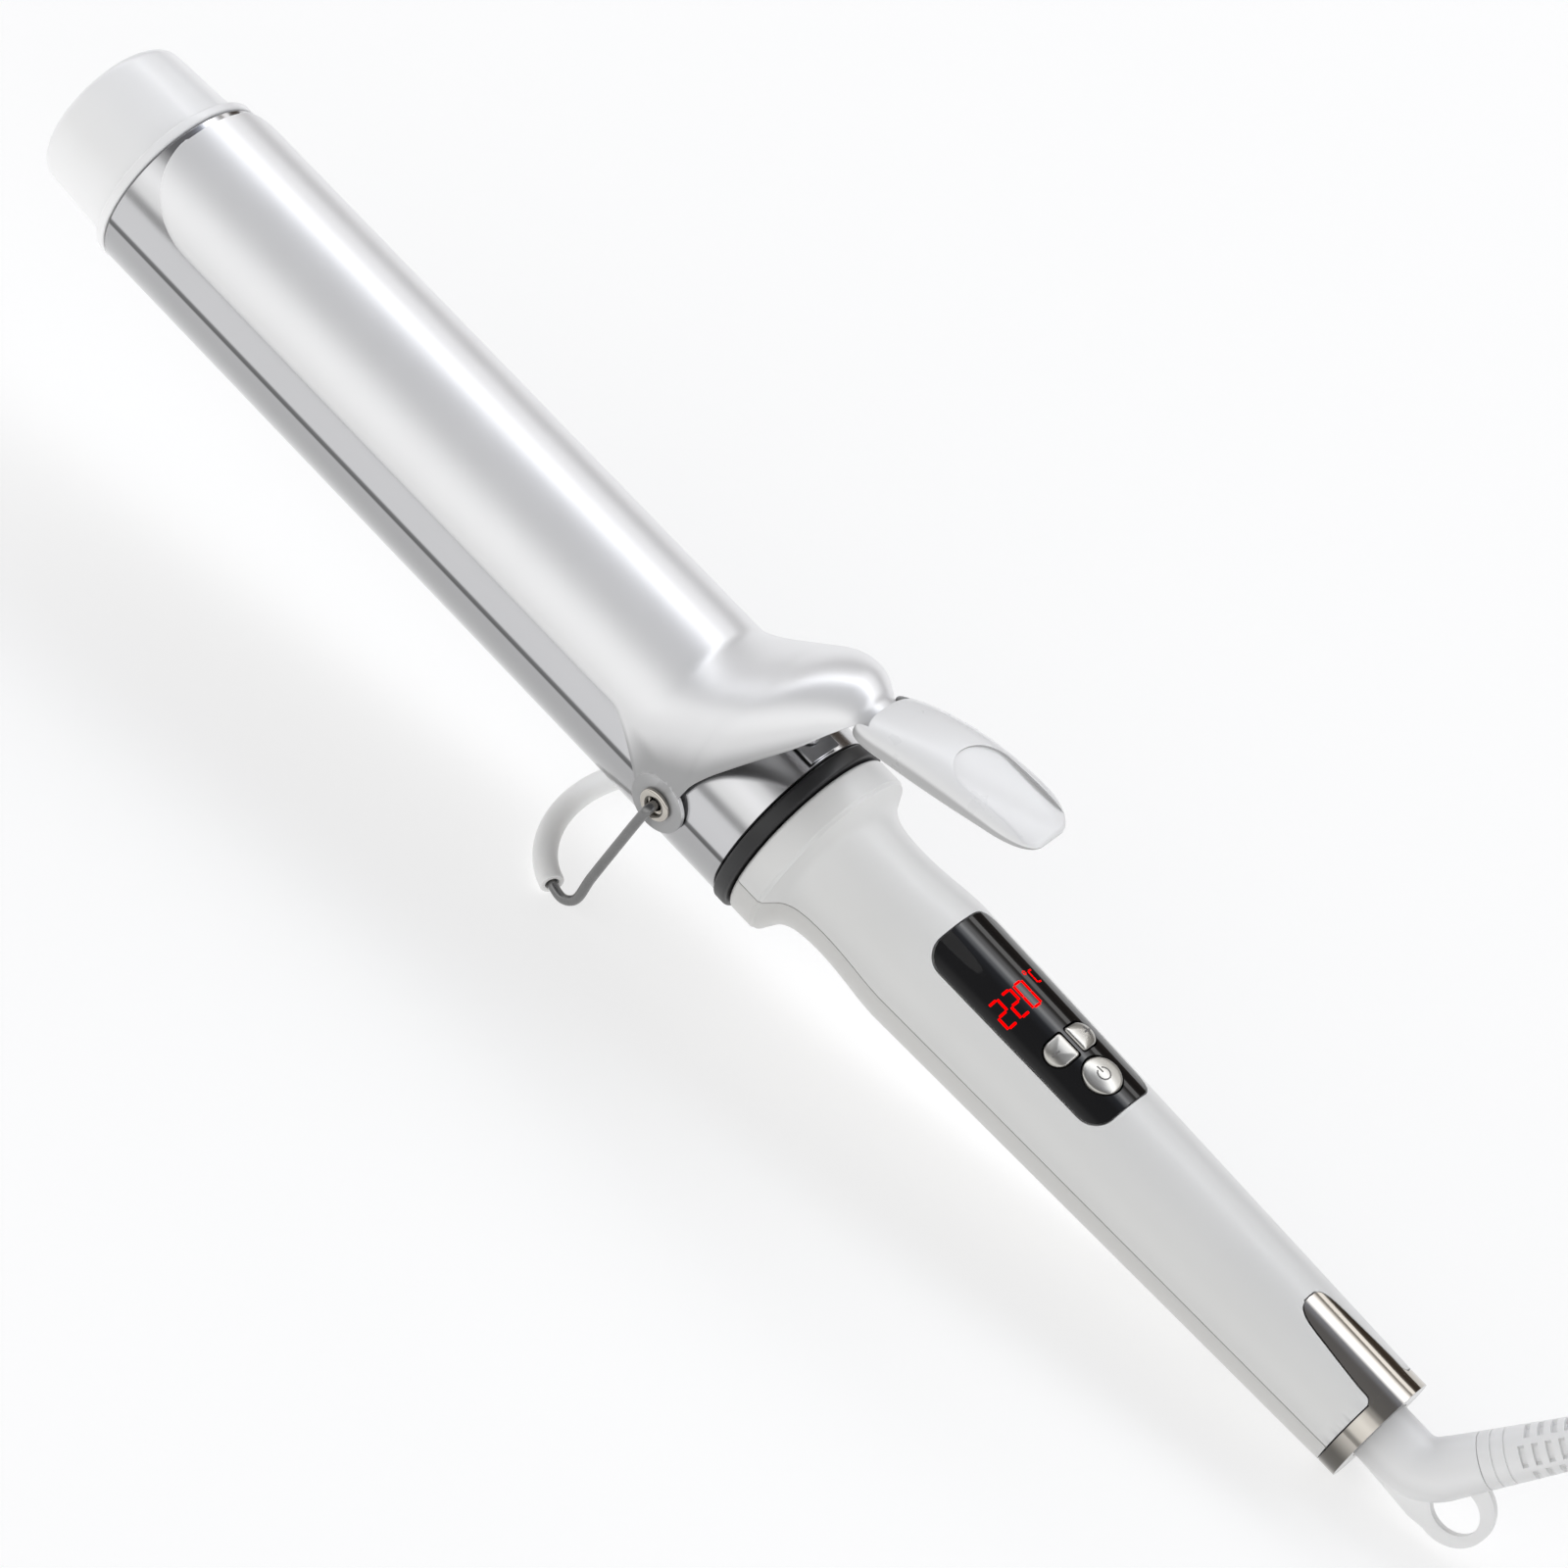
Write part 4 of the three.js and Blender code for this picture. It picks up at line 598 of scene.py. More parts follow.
def paint_reflected_shade(finish):
    """Paints reflected shade on the polished tube: its lower half a tone darker, with a fine dark line
    where it starts.
    """
    tree = finish.node_tree
    place = wired(tree, "TexCoord", "Object")
    width = calculate(tree, "SUBTRACT", dot(tree, place, axis_y), tail.dot(axis_y))
    level = calculate(tree, "SUBTRACT", dot(tree, place, axis_z), tail.dot(axis_z))
    turn = calculate(tree, "ARCTAN2", calculate(tree, "ABSOLUTE", width), level)
    share = wired(tree, "MapRange", "Result", {"Value": turn, "From Max": math.pi})
    stops = [(degrees / 180, (tone,) * 3) for degrees, tone in REFLECTED_SHADE_TONES]
    darken(finish, color_ramp(tree, share, stops))


def paint_facing_shade(finish, shade_tone):
    """Paints shade: the faces that look sideways or down are a tone greyer than those that look up."""
    tree = finish.node_tree
    upward = dot(tree, wired(tree, "NewGeometry", "Normal"), axis_z)
    share = wired(tree, "MapRange", "Result", {"Value": upward, "From Min": -1})
    stops = [((slope + 1) / 2, (1 - dark * (1 - shade_tone),) * 3) for slope, dark in PAINTED_SHADE_SHARES]
    darken(finish, color_ramp(tree, share, stops, "EASE"))


# Each finish by name: colour, roughness and what differs from the plain ones.
NICKEL = dict(color=(0.53, 0.50, 0.455), roughness=0.09, metallic=1.0, rough_spread=0.03, grain=0.2,
              grain_scale=900, grain_depth=0.002, stretch=(6, 1, 1))
MOULDED = dict(coat_roughness=0.25, mottle=0.008, grain=0.25, grain_scale=3000)
GLOSSY = dict(coat_roughness=0.2, mottle=0.006, grain=0.2, grain_scale=3200)
FINISHES = {
    "white_plastic": dict(color=(0.76, 0.76, 0.75), roughness=0.36, coat=0.15, **MOULDED),
    "cap_plastic": dict(color=(0.94, 0.94, 0.94), roughness=0.33, coat=0.25, **GLOSSY),
    # The thumb lever's copy of the cap's plastic, a little darker, with painted shade on its faces that
    # look sideways or down.
    "shaded_lever_plastic": dict(color=(0.88, 0.88, 0.88), roughness=0.3, coat=0.3, **GLOSSY),
    # A darker copy of the white plastic for the handle's lower shell: painted shade on the handle's
    # underside.
    "shaded_base_plastic": dict(color=(0.57, 0.565, 0.55), roughness=0.38, coat=0.1, **MOULDED),
    "boot_plastic": dict(color=(0.87, 0.87, 0.87), roughness=0.4, mottle=0.006, grain=0.3,
                         grain_scale=2600, scatter=0.04),
    "pearl_steel": dict(color=(0.89, 0.89, 0.895), roughness=0.34, metallic=0.36, coat=0.15,
                        coat_roughness=0.3, mottle=0.004, grain=0.08, grain_scale=9000,
                        grain_depth=0.006, rough_spread=0.02),
    "barrel_chrome": dict(color=(0.60, 0.60, 0.61), roughness=0.17, metallic=1.0, mottle=0.01,
                          rough_spread=0.02, grain=0.25, grain_scale=500, grain_depth=0.002,
                          stretch=(12, 0.3, 0.3)),
    "nickel": NICKEL,
    # The trim's copy of the nickel, which gets painted shade on its faces that look sideways or down.
    "shaded_trim_nickel": NICKEL,
    "spring_steel": dict(color=(0.42, 0.42, 0.43), roughness=0.24, metallic=1.0, mottle=0.05,
                         grain=0.3, grain_scale=1200, grain_depth=0.004, stretch=(1, 8, 1)),
    "dark_wire": dict(color=(0.22, 0.22, 0.22), roughness=0.3, metallic=1.0, mottle=0.08,
                      mottle_scale=300, grain=0.3, grain_scale=1500, grain_depth=0.005),
    "black_resin": dict(color=(0.014, 0.014, 0.015), roughness=0.42, mottle=0.15, grain=0.5,
                        grain_scale=2200),
    "black_lens": dict(color=(0.006, 0.006, 0.0065), roughness=0.05, coat=0.3, specular=0.35,
                       mottle=0.05, rough_spread=0.02, grain=0.05, grain_depth=0.003),
    "silver_button": dict(color=(0.50, 0.49, 0.46), roughness=0.3, metallic=0.95, grain=0.15,
                          grain_depth=0.004),
    "aluminium": dict(color=(0.62, 0.63, 0.64), roughness=0.42, metallic=1.0, mottle=0.05,
                      grain=0.4, grain_scale=900, stretch=(1, 10, 10)),
    "ceramic": dict(color=(0.80, 0.75, 0.66), roughness=0.7, mottle=0.06, grain=0.5),
    "mica": dict(color=(0.47, 0.33, 0.14), roughness=0.6, mottle=0.2, mottle_scale=200, grain=0.4),
    "green_board": dict(color=(0.02, 0.14, 0.05), roughness=0.4, coat=0.4, mottle=0.15,
                        mottle_scale=400, grain=0.4, grain_scale=1200),
    "brass": dict(color=(0.60, 0.40, 0.12), roughness=0.25, metallic=1.0, mottle=0.06, grain=0.2),
    "nylon": dict(color=(0.72, 0.70, 0.65), roughness=0.5, mottle=0.03, grain=0.3, scatter=0.1),
    "white_silicone": dict(color=(0.84, 0.84, 0.83), roughness=0.5, mottle=0.01, grain=0.4,
                           grain_scale=2000, grain_depth=0.03, scatter=0.08),
    "white_cable": dict(color=(0.80, 0.80, 0.79), roughness=0.42, mottle=0.012, grain=0.4,
                        grain_scale=1500, grain_depth=0.03, scatter=0.05),
    "red_light": dict(color=(1.0, 0.0, 0.0), roughness=0.6, emission=1.0, specular=0.0,
                      mottle=0.03),
    "print_grey": dict(color=(0.16, 0.155, 0.15), roughness=0.5, mottle=0.1, grain=0.2),
}
# The CAD nodes that keep their own meshes, by slot.
INNER_NODES = {
    "spring_steel": ["tip_screw", "paddle_screw", "shell_screw_front", "shell_screw_rear",
                     "board_screw_front", "board_screw_rear"],
    "ceramic": ["ptc_heater"],
    "aluminium": ["heat_spreader_upper", "heat_spreader_lower"],
    "mica": ["temperature_sensor", "film_capacitor"],
    "brass": ["thermal_fuse", "contact_ring_live", "contact_ring_neutral"],
    "nylon": ["barrel_holder", "swivel_bush", "swivel_retainer"],
    "black_resin": ["led_display", "minus_switch", "plus_switch", "power_switch", "triac",
                    "brush_block"],
    "green_board": ["control_board"],
    "white_silicone": ["heater_lead_live", "heater_lead_neutral"],
}
materials = {name: surface(name, **finish) for name, finish in FINISHES.items()}
# Painted shade on the faces of these finishes that look sideways or down.
for finish_name, tone in PAINTED_SHADE_TONES.items():
    paint_facing_shade(materials[finish_name], tone)
# The barrel's lower half gets painted reflected shade.
paint_reflected_shade(materials["barrel_chrome"])


def dress_inner_nodes():
    """Gives the CAD nodes that stay as they are their finishes."""
    for slot, names in INNER_NODES.items():
        for name in names:
            for material_slot in frame["nodes"][name].material_slots:
                material_slot.material = materials[slot]


def settle(piece, material, angle, slope=None):
    """Shades a piece, gives it its material and writes its place into its mesh."""
    smooth(piece, angle)
    if slope is not None:
        true_normals(piece, slope)
    piece.data.materials.clear()
    piece.data.materials.append(material)
    piece.data.transform(piece.matrix_world)
    piece.matrix_world = Matrix()


def dress(piece, slot, *nodes, look=None, angle=35, slope=None):
    """Finishes a piece that stands for CAD nodes and moves with the first one's body."""
    settle(piece, materials[look or slot], angle, slope)
    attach(piece, frame["nodes"][nodes[0]]["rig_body"])
    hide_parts(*nodes)


def decorate(piece, body, look):
    """Finishes a printed or lit mark that rides on a body and stands for no CAD node."""
    settle(piece, materials[look], 35)
    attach(piece, body)


# ---- shape helpers ---------------------------


def finer(profile, step=2.5):
    """A profile with its long straight parts broken up."""
    points = [profile[0]]
    for before, after in zip(profile, profile[1:]):
        count = max(1, int(math.dist(before, after) / step))
        for i in range(1, count + 1):
            t = i / count
            points.append(tuple(a + (b - a) * t for a, b in zip(before, after)))
    return points


def box(name, low, high, matrix=IRON):
    corners = [(x, y, z) for x in (low[0], high[0]) for y in (low[1], high[1]) for z in (low[2], high[2])]
    faces = [(0, 1, 3, 2), (4, 6, 7, 5), (0, 4, 5, 1), (2, 3, 7, 6), (0, 2, 6, 4), (1, 5, 7, 3)]
    return new_object(name, corners, faces, matrix)


def rod_across(station, height, radius, start, end, sides=64):
    return rod("tool", (station, start, height), (station, end, height), radius, sides)


def rod_up(station, across, radius, low, high, sides=64):
    return rod("tool", (station, across, low), (station, across, high), radius, sides)


def pivot_hole():
    """The hole right across the barrel and the clamp's ears for the eyelets."""
    return rod_across(PIVOT_STATION, 0, PIVOT_HOLE, -25, 25)


def tilted(station, height, degrees):
    """Placement on a plane that leans up towards the tail."""
    c, s = math.cos(math.radians(degrees)), math.sin(math.radians(degrees))
    return lambda x, y, z: (station + x * c - z * s, y, height + x * s + z * c)


def saddle(name, rows, outer, inner, columns=32):
    """A plate bent over the handle's cone; each row is (station, half angle)."""

    def skin(offset):
        return [
            [
                around(station, handle_radius(station) + offset, half * (2 * i / columns - 1))
                for i in range(columns + 1)
            ]
            for station, half in rows
        ]

    return shell_between(name, skin(outer), skin(inner))


def rounded_rows(front, rear, half_angle, corner, grow=0, steps=12):
    """Rows of a plate with rounded corners; grow widens it all round."""
    per_degree = math.radians(handle_radius((front + rear) / 2))
    half = half_angle + grow / per_degree
    corner_rows = []
    for i in range(steps + 1):
        turn = i / steps * math.pi / 2
        inset = corner * (1 - math.cos(turn))
        corner_rows.append((inset, half - corner * (1 - math.sin(turn)) / per_degree))
    rows = [(front - grow + inset, angle) for inset, angle in corner_rows]
    rows += [(rear + grow - inset, angle) for inset, angle in reversed(corner_rows)]
    return rows


def true_normals(obj, slope):
    """Gives the faces on the iron's round outside the shading of a true cone of that slope."""
    mesh = obj.data
    normals = []
    for polygon in mesh.polygons:
        for loop in polygon.loop_indices:
            x, y, z = mesh.vertices[mesh.loops[loop].vertex_index].co
            length = math.hypot(y, z)
            outward = Vector((-slope * length, y, z)).normalized()
            normals.append(outward if outward.dot(polygon.normal) > 0.98 else Vector((0, 0, 0)))
    mesh.normals_split_custom_set(normals)


# ---- tip and barrel --------------------------


def add_tip():
    cap = [(TIP_END + 0.12, 0), (TIP_END + 0.05, 7), (TIP_END, 13.2)]
    cap += arc((TIP_END + 2.6, 13.8), 2.6, 178, 92, 10)
    cap += [(-338, 16.62), (-333, 16.86), (-328, 17.12), (FLANGE_FRONT - GAP - 0.3, 17.28)]
    cap += [(FLANGE_FRONT - GAP, 17.0), (FLANGE_FRONT - GAP, 15.2), (TIP_END + 3, 14), (TIP_END + 3, 0)]
    dress(lathe("tip_cap_shell", cap), "cap_plastic", "tip_cap")

    rear = BARREL_FRONT - GAP
    flange = [(FLANGE_FRONT, 1.9), (FLANGE_FRONT, 12), (FLANGE_FRONT, 18.5)]
    flange += arc((FLANGE_FRONT + 0.55, FLANGE_RADIUS - 0.55), 0.55, 180, 90, 5)
    flange += arc((rear - 0.45, FLANGE_RADIUS - 0.45), 0.45, 90, 0, 5)
    flange += [(rear, 18.2), (rear, 17.5), (rear + 9, 17.5), (rear + 9, 15.8), (rear + 1.5, 15.8)]
    flange.append((rear + 1.5, 1.9))
    dress(lathe("tip_flange", flange), "cap_plastic", "tip_insulator")


def add_barrel():
    bore = BARREL_RADIUS - BARREL_WALL
    outer = [(BARREL_FRONT, BARREL_RADIUS - 0.35)]
    outer += arc((BARREL_FRONT + 0.35, BARREL_RADIUS - 0.35), 0.35, 180, 90, 4)[1:]
    for station in (-290, -240, -200, -180, -175, -172, -169, -166, -161, -155, BARREL_REAR - 0.2):
        outer.append((station, BARREL_RADIUS))
    outer += [(BARREL_REAR, BARREL_RADIUS - 0.2), (BARREL_REAR, bore), (BARREL_FRONT, bore)]
    barrel = lathe("barrel_skin", outer, sides=192)
    cut(barrel, [pivot_hole(), rod_up(RIVET_STATION, 0, SCREW_HOLE, 10, 25)])
    dress(barrel, "barrel_chrome", "barrel_tube", slope=0)

    front = BARREL_REAR + GAP
    rear = COLLAR_FRONT - GAP
    ring = [(front, NECK_BORE), (front, 18.6)]
    ring += arc((front + 0.75, 18.85), 0.75, 180, 95, 6)
    ring += arc((rear - 0.65, 18.95), 0.65, 85, 0, 6)
    ring += [(rear, 18.3), (rear, NECK_BORE)]
    dress(lathe("heat_ring_band", ring), "black_resin", "heat_ring")


# ---- clamp -----------------------------------

# The hood behind the leaf: station and height of its top, then station, half width and height
# of its edge, then half width and height of the ear's low end.
HOOD_ROWS = [
    (-183.2, 19.7, -183.2, 17.86, 8.3, 18.45, 6.9),
    (-180.6, 20.1, -180.6, 18.0, 8.2, 18.97, 5.3),
    (-177.6, 22.1, -177, 18.7, 8.1, 19.6, 2.4),
    (-174.2, 25.0, -173.4, 19.4, 8.1, 19.75, -1.5),
    (-171, 28.1, -170, 19.75, 8.3, 19.75, -3),
    (-168.8, 30.3, -167, 19.75, 8.9, 19.75, -3),
    (-167, 32.0, -165.6, 19.7, 10.2, 19.72, 8.2),
    (-164.8, 34.2, -164, 19.2, 14.4, 19.25, 13.8),
    (-161.8, 36.9, -161.2, 17.6, 19.8, 17.7, 19.3),
    (-158.4, 39.1, -157.8, 15.0, 25.4, 15.1, 25),
    (-155, 40.4, -154.6, 11.9, 30.1, 12.05, 29.8),
    (-151.8, 40.2, -151.6, 7.8, 35.5, 7.95, 35.2),
    (-149.8, 39.2, -149.7, 5.0, 37.5, 5.05, 37.4),
    (-147, 39.0, -147, 4.4, 38.2, 4.45, 38.1),
    (-143, 40.2, -143, 4.4, 39.8, 4.45, 39.7),
    (-138, 41.87, -138, 4.33, 41.5, 4.38, 41.4),
    (-133, 43.53, -133, 4.27, 43.25, 4.32, 43.15),
    (-128, 45.2, -128, 4.2, 45, 4.25, 44.9),
]
CLAMP_COLUMNS = 56
CORNER_STEPS = 16
LEAF_STEPS = 12
LEAF_REAR = -192


def leaf_row(station, half):
    """A clamp row that lies on the barrel out to a half angle."""
    a = math.radians(half)
    across = LEAF_RADIUS * math.sin(a)
    height = LEAF_RADIUS * math.cos(a)
    return (station, LEAF_RADIUS, station, across, height, across + 0.01, height - 0.02)


def clamp_point(row, across):
    """A point of a row; across runs from -1 at the near edge to 1 at the far edge."""
    top_station, top, edge_station, half, edge, low_half, low = row
    side = -1 if across < 0 else 1
    rise = top - edge
    radius = (half ** 2 + rise ** 2) / (2 * rise)
    centre = top - radius
    sweep = math.atan2(half, edge - centre)
    arc_length = radius * sweep
    ear_length = math.hypot(low_half - half, low - edge)
    travel = abs(across) * (arc_length + ear_length)
    if travel > arc_length:
        t = (travel - arc_length) / ear_length
        return Vector((edge_station, side * (half + (low_half - half) * t), edge + (low - edge) * t))
    a = travel / radius
    station = top_station + (edge_station - top_station) * (travel / arc_length) ** 2
    return Vector((station, side * radius * math.sin(a), centre + radius * math.cos(a)))


def offset_grid(grid, distance):
    """The grid moved along its surface normal."""
    rows, columns = len(grid), len(grid[0])
    out = []
    for r in range(rows):
        line = []
        for c in range(columns):
            along = grid[min(r + 1, rows - 1)][c] - grid[max(r - 1, 0)][c]
            sideways = grid[r][min(c + 1, columns - 1)] - grid[r][max(c - 1, 0)]
            line.append(grid[r][c] + along.cross(sideways).normalized() * distance)
        out.append(line)
    return out


def add_clamp_plate():
    """The leaf's rounded front, its straight part, then the hood with the tang."""
    rows = []
    for i in range(CORNER_STEPS):
        turn = i / CORNER_STEPS * math.pi / 2
        half = LEAF_TIP_HALF_ANGLE + (LEAF_HALF_ANGLE - LEAF_TIP_HALF_ANGLE) * math.sin(turn)
        rows.append(leaf_row(LEAF_FRONT + LEAF_CORNER * (1 - math.cos(turn)), half))
    start = LEAF_FRONT + LEAF_CORNER
    for i in range(LEAF_STEPS):
        rows.append(leaf_row(start + i / LEAF_STEPS * (LEAF_REAR - start), LEAF_HALF_ANGLE))
    hood = [leaf_row(station, LEAF_HALF_ANGLE) for station in (LEAF_REAR, LEAF_REAR + 5.5)]
    rows += [tuple(row) for row in blended(hood + HOOD_ROWS, 5)]
    middle = [
        [clamp_point(row, 2 * i / CLAMP_COLUMNS - 1) for i in range(CLAMP_COLUMNS + 1)] for row in rows
    ]
    sheet = shell_between("clamp_leaf", offset_grid(middle, SHEET / 2), offset_grid(middle, -SHEET / 2))
    inside = BARREL_RADIUS + 0.33
    outside = inside + SHEET + 0.04
    for start, end in ((inside, outside), (-outside, -inside)):
        cut(sheet, [rod_across(PIVOT_STATION, 0, EAR_RADIUS, start, end)], "UNION")
    cut(sheet, [pivot_hole(), rod_up(TANG_SCREW_STATION, 0, SCREW_HOLE, 35, 50)])
    rounded(sheet, 0.22, 2, 50)
    dress(sheet, "pearl_steel", "clamp_plate", angle=40)


# The thumb lever: station, half width, height of its underside and of its top.
PADDLE_SECTIONS = [
    (-150.0, 4.6, 36.4, 38.9),
    (-149.5, 5.9, 35.6, 39.6),
    (-148.2, 6.9, 35.4, 40.5),
    (-145.5, 7.7, 36.1, 42.0),
    (-141, 8.2, 37.6, 44.2),
    (-135, 8.5, 39.4, 46.5),
    (-128, 8.5, 41.6, 48.2),
    (-121, 8.2, 43.9, 49.0),
    (-116, 7.6, 45.3, 49.2),
    (-112.6, 6.3, 46.2, 48.9),
    (-110.6, 4.6, 46.9, 48.3),
    (-109.9, 3.1, 47.3, 47.9),
]


def paddle_ring(row, sides=72):
    """A ring shaped like a rounded bar, flatter underneath than on top."""
    station, half, under, top = row
    ring = []
    for i in range(sides):
        a = tau * i / sides
        c, s = math.cos(a), math.sin(a)
        across = half * math.copysign(abs(c) ** 0.72, c)
        height = (top - under) / 2 * math.copysign(abs(s) ** (0.8 if s > 0 else 0.5), s)
        ring.append((station, across, (under + top) / 2 + height))
    return ring


def thumb_rest_outline():
    """Outline of the dish in the lever's top: round at the front, open at the tail end."""
    half = 6.2
    outline = [(26, -half + 0.6), (26, half - 0.6), (half, half)]
    for i in range(1, 24):
        a = math.radians(90 + 180 * i / 24)
        outline.append((half + half * math.cos(a), half * math.sin(a)))
    outline.append((half, -half))
    return outline


def add_paddle():
    paddle = loft("thumb_lever", [paddle_ring(row) for row in blended(PADDLE_SECTIONS, 5)])
    tang = [(-8, -4.9), (18, -4.9), (18, 4.9), (-8, 4.9)]
    tools = [
        prism("tool", thumb_rest_outline(), 0, 6, tilted(-132.5, 46.8, 4)),
        prism("tool", tang, -1.1, 1.1, tilted(-143, 40.05, 18.8)),
        box("tool", (-152, -5.7, 36.7), (-145, 5.7, 40.3)),
        rod_up(TANG_SCREW_STATION, 0, 2.9, 30, 42.2),
        rod_up(TANG_SCREW_STATION, 0, SCREW_HOLE, 30, 45.6),
    ]
    cut(paddle, tools)
    rounded(paddle, 0.3, 3, 45)
    dress(paddle, "cap_plastic", "thumb_paddle", look="shaded_lever_plastic", angle=45)


SPRING_HALF = 0.3  # half its thickness
SPRING_FOLD = -168.5
SPRING_FOLD_RADIUS = 2.1
SPRING_COLUMNS = (-3.7, -1.2, 1.2, 3.7)


def spring_line():
    """Middle line of the folded leaf as (station, height), from its end on the barrel."""
    base = BARREL_RADIUS + GAP + SPRING_HALF
    line = [(-153.4 - i * 1.5, base) for i in range(10)]
    line.append((SPRING_FOLD, base))
    for i in range(1, 17):
        a = -math.pi / 2 - i / 16 * (math.pi - math.radians(40))
        x = SPRING_FOLD + SPRING_FOLD_RADIUS * math.cos(a)
        line.append((x, base + SPRING_FOLD_RADIUS + SPRING_FOLD_RADIUS * math.sin(a)))
    for end in ((-160, 31.1), (-153.8, 36.8), (-151.2, 38.2)):
        start = line[-1]
        line += [tuple(s + (e - s) * k / 6 for s, e in zip(start, end)) for k in range(1, 7)]
    return line


def add_spring():
    """Folded leaf spring between the barrel and the lever."""
    line = spring_line()
    outer, inner = [], []
    for i, (x, z) in enumerate(line):
        before, after = line[max(i - 1, 0)], line[min(i + 1, len(line) - 1)]
        reach = SPRING_HALF / math.dist(before, after)
        nx, nz = -(after[1] - before[1]) * reach, (after[0] - before[0]) * reach
        outer.append([(x + nx, y, z + nz) for y in SPRING_COLUMNS])
        inner.append([(x - nx, y, z - nz) for y in SPRING_COLUMNS])
    spring = shell_between("return_spring", outer, inner)
    cut(spring, [rod_up(RIVET_STATION, 0, SCREW_HOLE, 15, 22)])
    settle(spring, materials["spring_steel"], 35)
    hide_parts("clamp_spring")
    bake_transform(spring)


def add_rivet():
    under = BARREL_RADIUS + 0.6 + 2 * GAP
    head = [(17.7, 0), (17.7, 1.2), (under, 1.2), (under, 2.1), (under + 0.25, 2.1)]
    head += [(under + 0.55, 1.9), (under + 0.8, 1.5), (under + 0.95, 0.9), (under + 1, 0)]
    upright = Matrix.Translation((RIVET_STATION * MM, 0, 0)) @ Matrix.Rotation(-math.pi / 2, 4, "Y")
    dress(lathe("rivet_head", head, 32, IRON @ upright), "spring_steel", "spring_rivet")


def add_eyelets():
    """Hollow eyelets with rolled heads, on which the ears turn."""
    face = BARREL_RADIUS + 0.35 + SHEET + GAP
    tucked = BARREL_RADIUS - BARREL_WALL - 0.6
    profile = [(face, EYELET_SHANK), (face, 3.25), (face + 0.12, 3.36), (face + 0.36, 3.36)]
    profile += [(face + 0.62, 3.18), (face + 0.78, 2.9), (face + 0.82, 2.6), (face + 0.78, 2.25)]
    profile += [(face + 0.64, 1.95), (face + 0.42, 1.55), (face + 0.2, EYELET_BORE)]
    profile += [(tucked - 0.7, EYELET_BORE), (tucked - 0.7, 2.7), (tucked, 2.7), (tucked, EYELET_SHANK)]
    for side, end in ((-1, "near"), (1, "far")):
        turn = Matrix.Rotation(side * math.pi / 2, 4, "Z")
        place = IRON @ Matrix.Translation((PIVOT_STATION * MM, 0, 0)) @ turn
        dress(lathe("eyelet_" + end, profile, 64, place), "nickel", "pivot_eyelet_" + end)


# ---- stand -----------------------------------


def resting_angle():
    """How far the iron is tipped when it lies on its stand's foot and its tail."""
    drop = FOOT_DROP - SHELL_REAR_RADIUS
    lift = math.asin(SLEEVE_RADIUS / math.hypot(drop, -FOOT_STATION))
    return math.atan2(drop, -FOOT_STATION) + lift


def foot_point(t):
    """Middle line of the foot, a half ellipse that lies flat on the surface."""
    a = math.pi * t
    tilt = resting_angle()
    return (
        FOOT_STATION - FOOT_BULGE * math.sin(a) * math.cos(tilt),
        -LEG_SIDE * math.cos(a),
        -FOOT_DROP - FOOT_BULGE * math.sin(a) * math.sin(tilt),
    )


def add_stand():
    half = [
        (PIVOT_STATION, -17.4, 0),
        (PIVOT_STATION, -21.5, 0),
        (PIVOT_STATION - 0.05, -LEG_SIDE + 0.35, -0.6),
        (PIVOT_STATION - 0.25, -LEG_SIDE, -2.4),
        (PIVOT_STATION - 1.5, -LEG_SIDE, -14),
        (PIVOT_STATION - 2.7, -LEG_SIDE, -26),
        (PIVOT_STATION - 3.4, -LEG_SIDE, -34.2),
        foot_point(0.035),
    ]
    foot = [foot_point(0.1 + 0.1 * i) for i in range(9)]
    mirrored = [(x, -y, z) for x, y, z in reversed(half)]
    line = centripetal(half + foot + mirrored, 8)
    wire = loft("stand_bow", tube_rings(line, WIRE_RADIUS, 24))
    dress(wire, "dark_wire", "stand_wire")

    middle = centripetal([foot_point(0.1 + 0.8 * i / 16) for i in range(17)], 4)
    outer = tube_rings(middle, SLEEVE_RADIUS, 36)
    inner = tube_rings(middle, WIRE_RADIUS + GAP, 36)
    rings = outer + inner[::-1]
    sleeve = loft("stand_grip", rings + [rings[0]], caps=False)
    rounded(sleeve, 0.3, 3, 60)
    dress(sleeve, "white_silicone", "stand_sleeve")


# ---- handle ----------------------------------

SHELL_SCREW_STATIONS = (-54, -29)
TONGUE_SIDE_GAP = 1.6  # degrees

# The neck between the collar and the tapered part: station and radius.
NECK_POINTS = [
    (-142.6, 18.5),
    (-141.7, 17.0),
    (-140.3, 15.05),
    (-138.2, 13.85),
    (-134.6, 13.2),
    (-129.2, 13.1),
    (-123.7, 13.5),
    (-119.6, 13.92),
    (CREASE_STATION - 0.25, CREASE_RADIUS - 0.012),
]

# The trim's tongue: station and half angle.
TONGUE_ROWS = [
    (-24.5, 6),
    (-24.1, 11),
    (-23, 15),
    (-21, 18),
    (-16, 21),
    (-8, 25),
    (-5.2, 25.6),
    (-4.4, 27.5),
    (-3.9, 31),
    (-3.2, 31),
]


